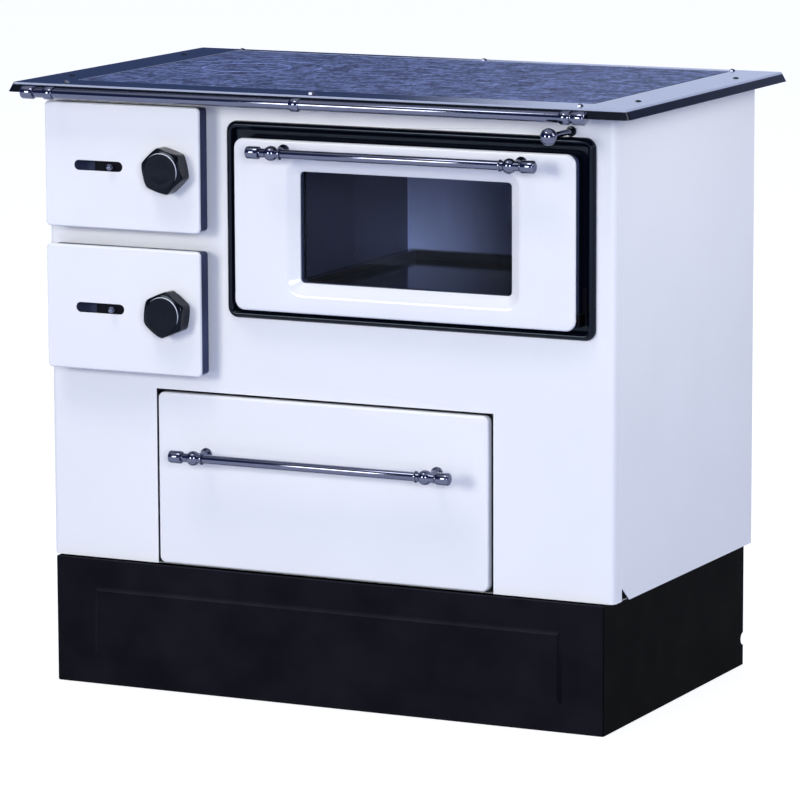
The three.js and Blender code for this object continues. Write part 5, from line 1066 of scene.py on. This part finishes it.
class STOVE_OT_stage(StovePiece, bpy.types.Operator):
    """Pale floor, soft studio light and the camera"""

    bl_idname = "stove.stage"
    bl_label = "Studio"

    def execute(self, context):
        self.floor()
        self.lamps()
        self.world(context)
        self.camera(context)
        context.scene.view_settings.view_transform = "Standard"
        return {"FINISHED"}

    def floor(self):
        """A wide sheet of pale paper, a hair under the plinth."""
        reach, under = 40000.0, -0.5
        points = [(x * reach, y * reach, under) for x, y in ((-1, -1), (1, -1), (1, 1), (-1, 1))]
        floor = mesh_piece("studio_floor", points, [(0, 1, 2, 3)])
        material, tree, _ = blank("studio_floor_paper")
        rays = add(tree, "ShaderNodeLightPath").outputs
        seen = rays["Is Camera Ray"]
        for other in (rays["Is Glossy Ray"], rays["Is Transmission Ray"]):
            seen = add(tree, "ShaderNodeMath", {0: seen, 1: other}, operation="MAXIMUM")
        # paper is pale to the eye, while the light it throws back up is kept low
        paper = two_tones(tree, seen, hex_colour("#5A6A9C"), colours().floor, 0.0, 1.0)
        glow = add(tree, "ShaderNodeMapRange", {"Value": seen, "To Min": 0.0, "To Max": 0.62})
        surface(material, tree, {
            "Base Color": paper, "Roughness": 0.9, "Specular IOR Level": 0.2, "Emission Strength": glow,
        })
        floor.data.materials.append(material)

    def lamps(self):
        """Four square soft lamps, each aimed at a point in metres."""
        # a warm lamp on the left and a cool one on the right: what the left one misses stays bluish
        warm, cool = (1.0, 0.955, 0.80), (0.95, 0.965, 0.98)
        # name, azimuth from the front towards the right, elevation, distance, aim, width, power, colour
        soft = (
            ("right_softbox", 32.0, 10.0, 9.0, (0.1, 0.0, 0.62), 2.4, 350.0, cool),
            ("left_softbox", -22.0, 12.0, 9.0, (0.0, 0.0, 0.5), 2.4, 330.0, warm),
            ("top_softbox", -20.0, 60.0, 3.5, (0.0, 0.0, 0.5), 0.8, 20.0, warm),
            ("side_softbox", 88.0, 30.0, 1.1, (0.43, -0.05, 0.75), 0.6, 6.5, warm),
        )
        for name, azimuth, elevation, distance, aim, width, power, tone in soft:
            lamp = bpy.data.lights.new(name, "AREA")
            lamp.shape = "SQUARE"
            lamp.size = width
            lamp.energy = power
            lamp.color = tone
            obj = linked(name, lamp)
            turn, tilt = math.radians(azimuth), math.radians(elevation)
            level = math.cos(tilt)
            away = Vector((math.sin(turn) * level, -math.cos(turn) * level, math.sin(tilt)))
            obj.location = Vector(aim) + away * distance
            obj.rotation_euler = away.to_track_quat("Z", "Y").to_euler()
            obj.visible_camera = False

    def world(self, context):
        """The room that the shiny pieces mirror, laid out by direction."""
        world = bpy.data.worlds.new("studio")
        context.scene.world = world
        world.use_nodes = True
        tree = world.node_tree
        tree.nodes.clear()
        place = add(tree, "ShaderNodeTexCoord").outputs["Generated"]
        way = add(tree, "ShaderNodeSeparateXYZ", {0: place}).outputs

        def rise(axis, low, high):
            """A soft step along one axis of the direction."""
            limits = {"Value": way[axis], "From Min": low, "From Max": high}
            return add(tree, "ShaderNodeMapRange", limits, interpolation_type="SMOOTHSTEP")

        # a pale ceiling, a low pale blue wall behind except at the far left, and a dim room for the rest
        wall = rise("X", -0.437, -0.402)
        for limit in (rise("Y", 0.3, 0.7), rise("Z", 0.28, 0.18)):
            wall = add(tree, "ShaderNodeMath", {0: wall, 1: limit}, operation="MULTIPLY")
        walls = two_tones(tree, wall, (0.06, 0.09, 0.22), (0.88, 1.0, 1.4), 0.0, 1.0)
        ceiling = two_tones(tree, rise("Z", 0.55, 0.85), (0, 0, 0), (0.97, 0.98, 1.0), 0.0, 1.0)
        room = add(tree, "ShaderNodeVectorMath", {0: walls, 1: ceiling}, operation="MAXIMUM")
        light = add(tree, "ShaderNodeBackground", {"Color": room, "Strength": 1.0})
        add(tree, "ShaderNodeOutputWorld", {"Surface": light})

    def camera(self, context):
        """A long lens 7 m away, 26 degrees to the right of the front and a little above."""
        azimuth, pitch, roll = (math.radians(v) for v in (25.93, 9.43, 0.22))
        picture_px, focal_px, offset, distance = 800, 4945.0, (-2.0, -32.0), 6.975
        level = math.cos(pitch)
        forward = Vector((-math.sin(azimuth) * level, math.cos(azimuth) * level, -math.sin(pitch)))
        right = forward.cross(Vector((0, 0, 1))).normalized()
        up = right.cross(forward)
        turn = Matrix.Rotation(roll, 3, forward)
        target = Vector((0, 0, 0.425)) + (right * offset[0] + up * offset[1]) * MM
        view_right, view_up = turn @ right, turn @ up
        lens = bpy.data.cameras.new("camera")
        lens.sensor_width = 36.0
        lens.lens = lens.sensor_width * focal_px / picture_px
        lens.clip_end = 200.0
        camera = linked("camera", lens)
        basis = Matrix((view_right, view_up, -forward)).transposed()
        camera.matrix_world = Matrix.Translation(target - forward * distance) @ basis.to_4x4()
        context.scene.camera = camera


OPERATORS = (
    STOVE_OT_shell,
    STOVE_OT_plinth,
    STOVE_OT_worktop,
    STOVE_OT_bars,
    STOVE_OT_doors,
    STOVE_OT_oven,
    STOVE_OT_drawer,
    STOVE_OT_flue,
    STOVE_OT_firebox,
    STOVE_OT_stage,
)


class STOVE_PT_build(bpy.types.Panel):
    """Lists the stove's building steps"""

    bl_idname = "STOVE_PT_build"
    bl_label = "Cookstove"
    bl_space_type = "VIEW_3D"
    bl_region_type = "UI"
    bl_category = "Cookstove"

    def draw(self, context):
        for operator in OPERATORS:
            self.layout.operator(operator.bl_idname)
        for group in (context.scene.stove_sizes, context.scene.stove_colours):
            box = self.layout.box()
            for name in group.__annotations__:
                box.prop(group, name)


CLASSES = (StoveSizes, StoveColours, *OPERATORS, STOVE_PT_build)


def register():
    """Adds the classes and hangs both groups of options on the scene."""
    for cls in CLASSES:
        bpy.utils.register_class(cls)
    bpy.types.Scene.stove_sizes = bpy.props.PointerProperty(type=StoveSizes)
    bpy.types.Scene.stove_colours = bpy.props.PointerProperty(type=StoveColours)


def unregister():
    """Takes away what register added."""
    del bpy.types.Scene.stove_colours
    del bpy.types.Scene.stove_sizes
    for cls in reversed(CLASSES):
        bpy.utils.unregister_class(cls)


def main():
    """Builds the whole stove and its studio."""
    register()
    make_finishes()
    for operator in OPERATORS:
        group, name = operator.bl_idname.split(".")
        getattr(getattr(bpy.ops, group), name)()


if __name__ == "__main__":
    main()
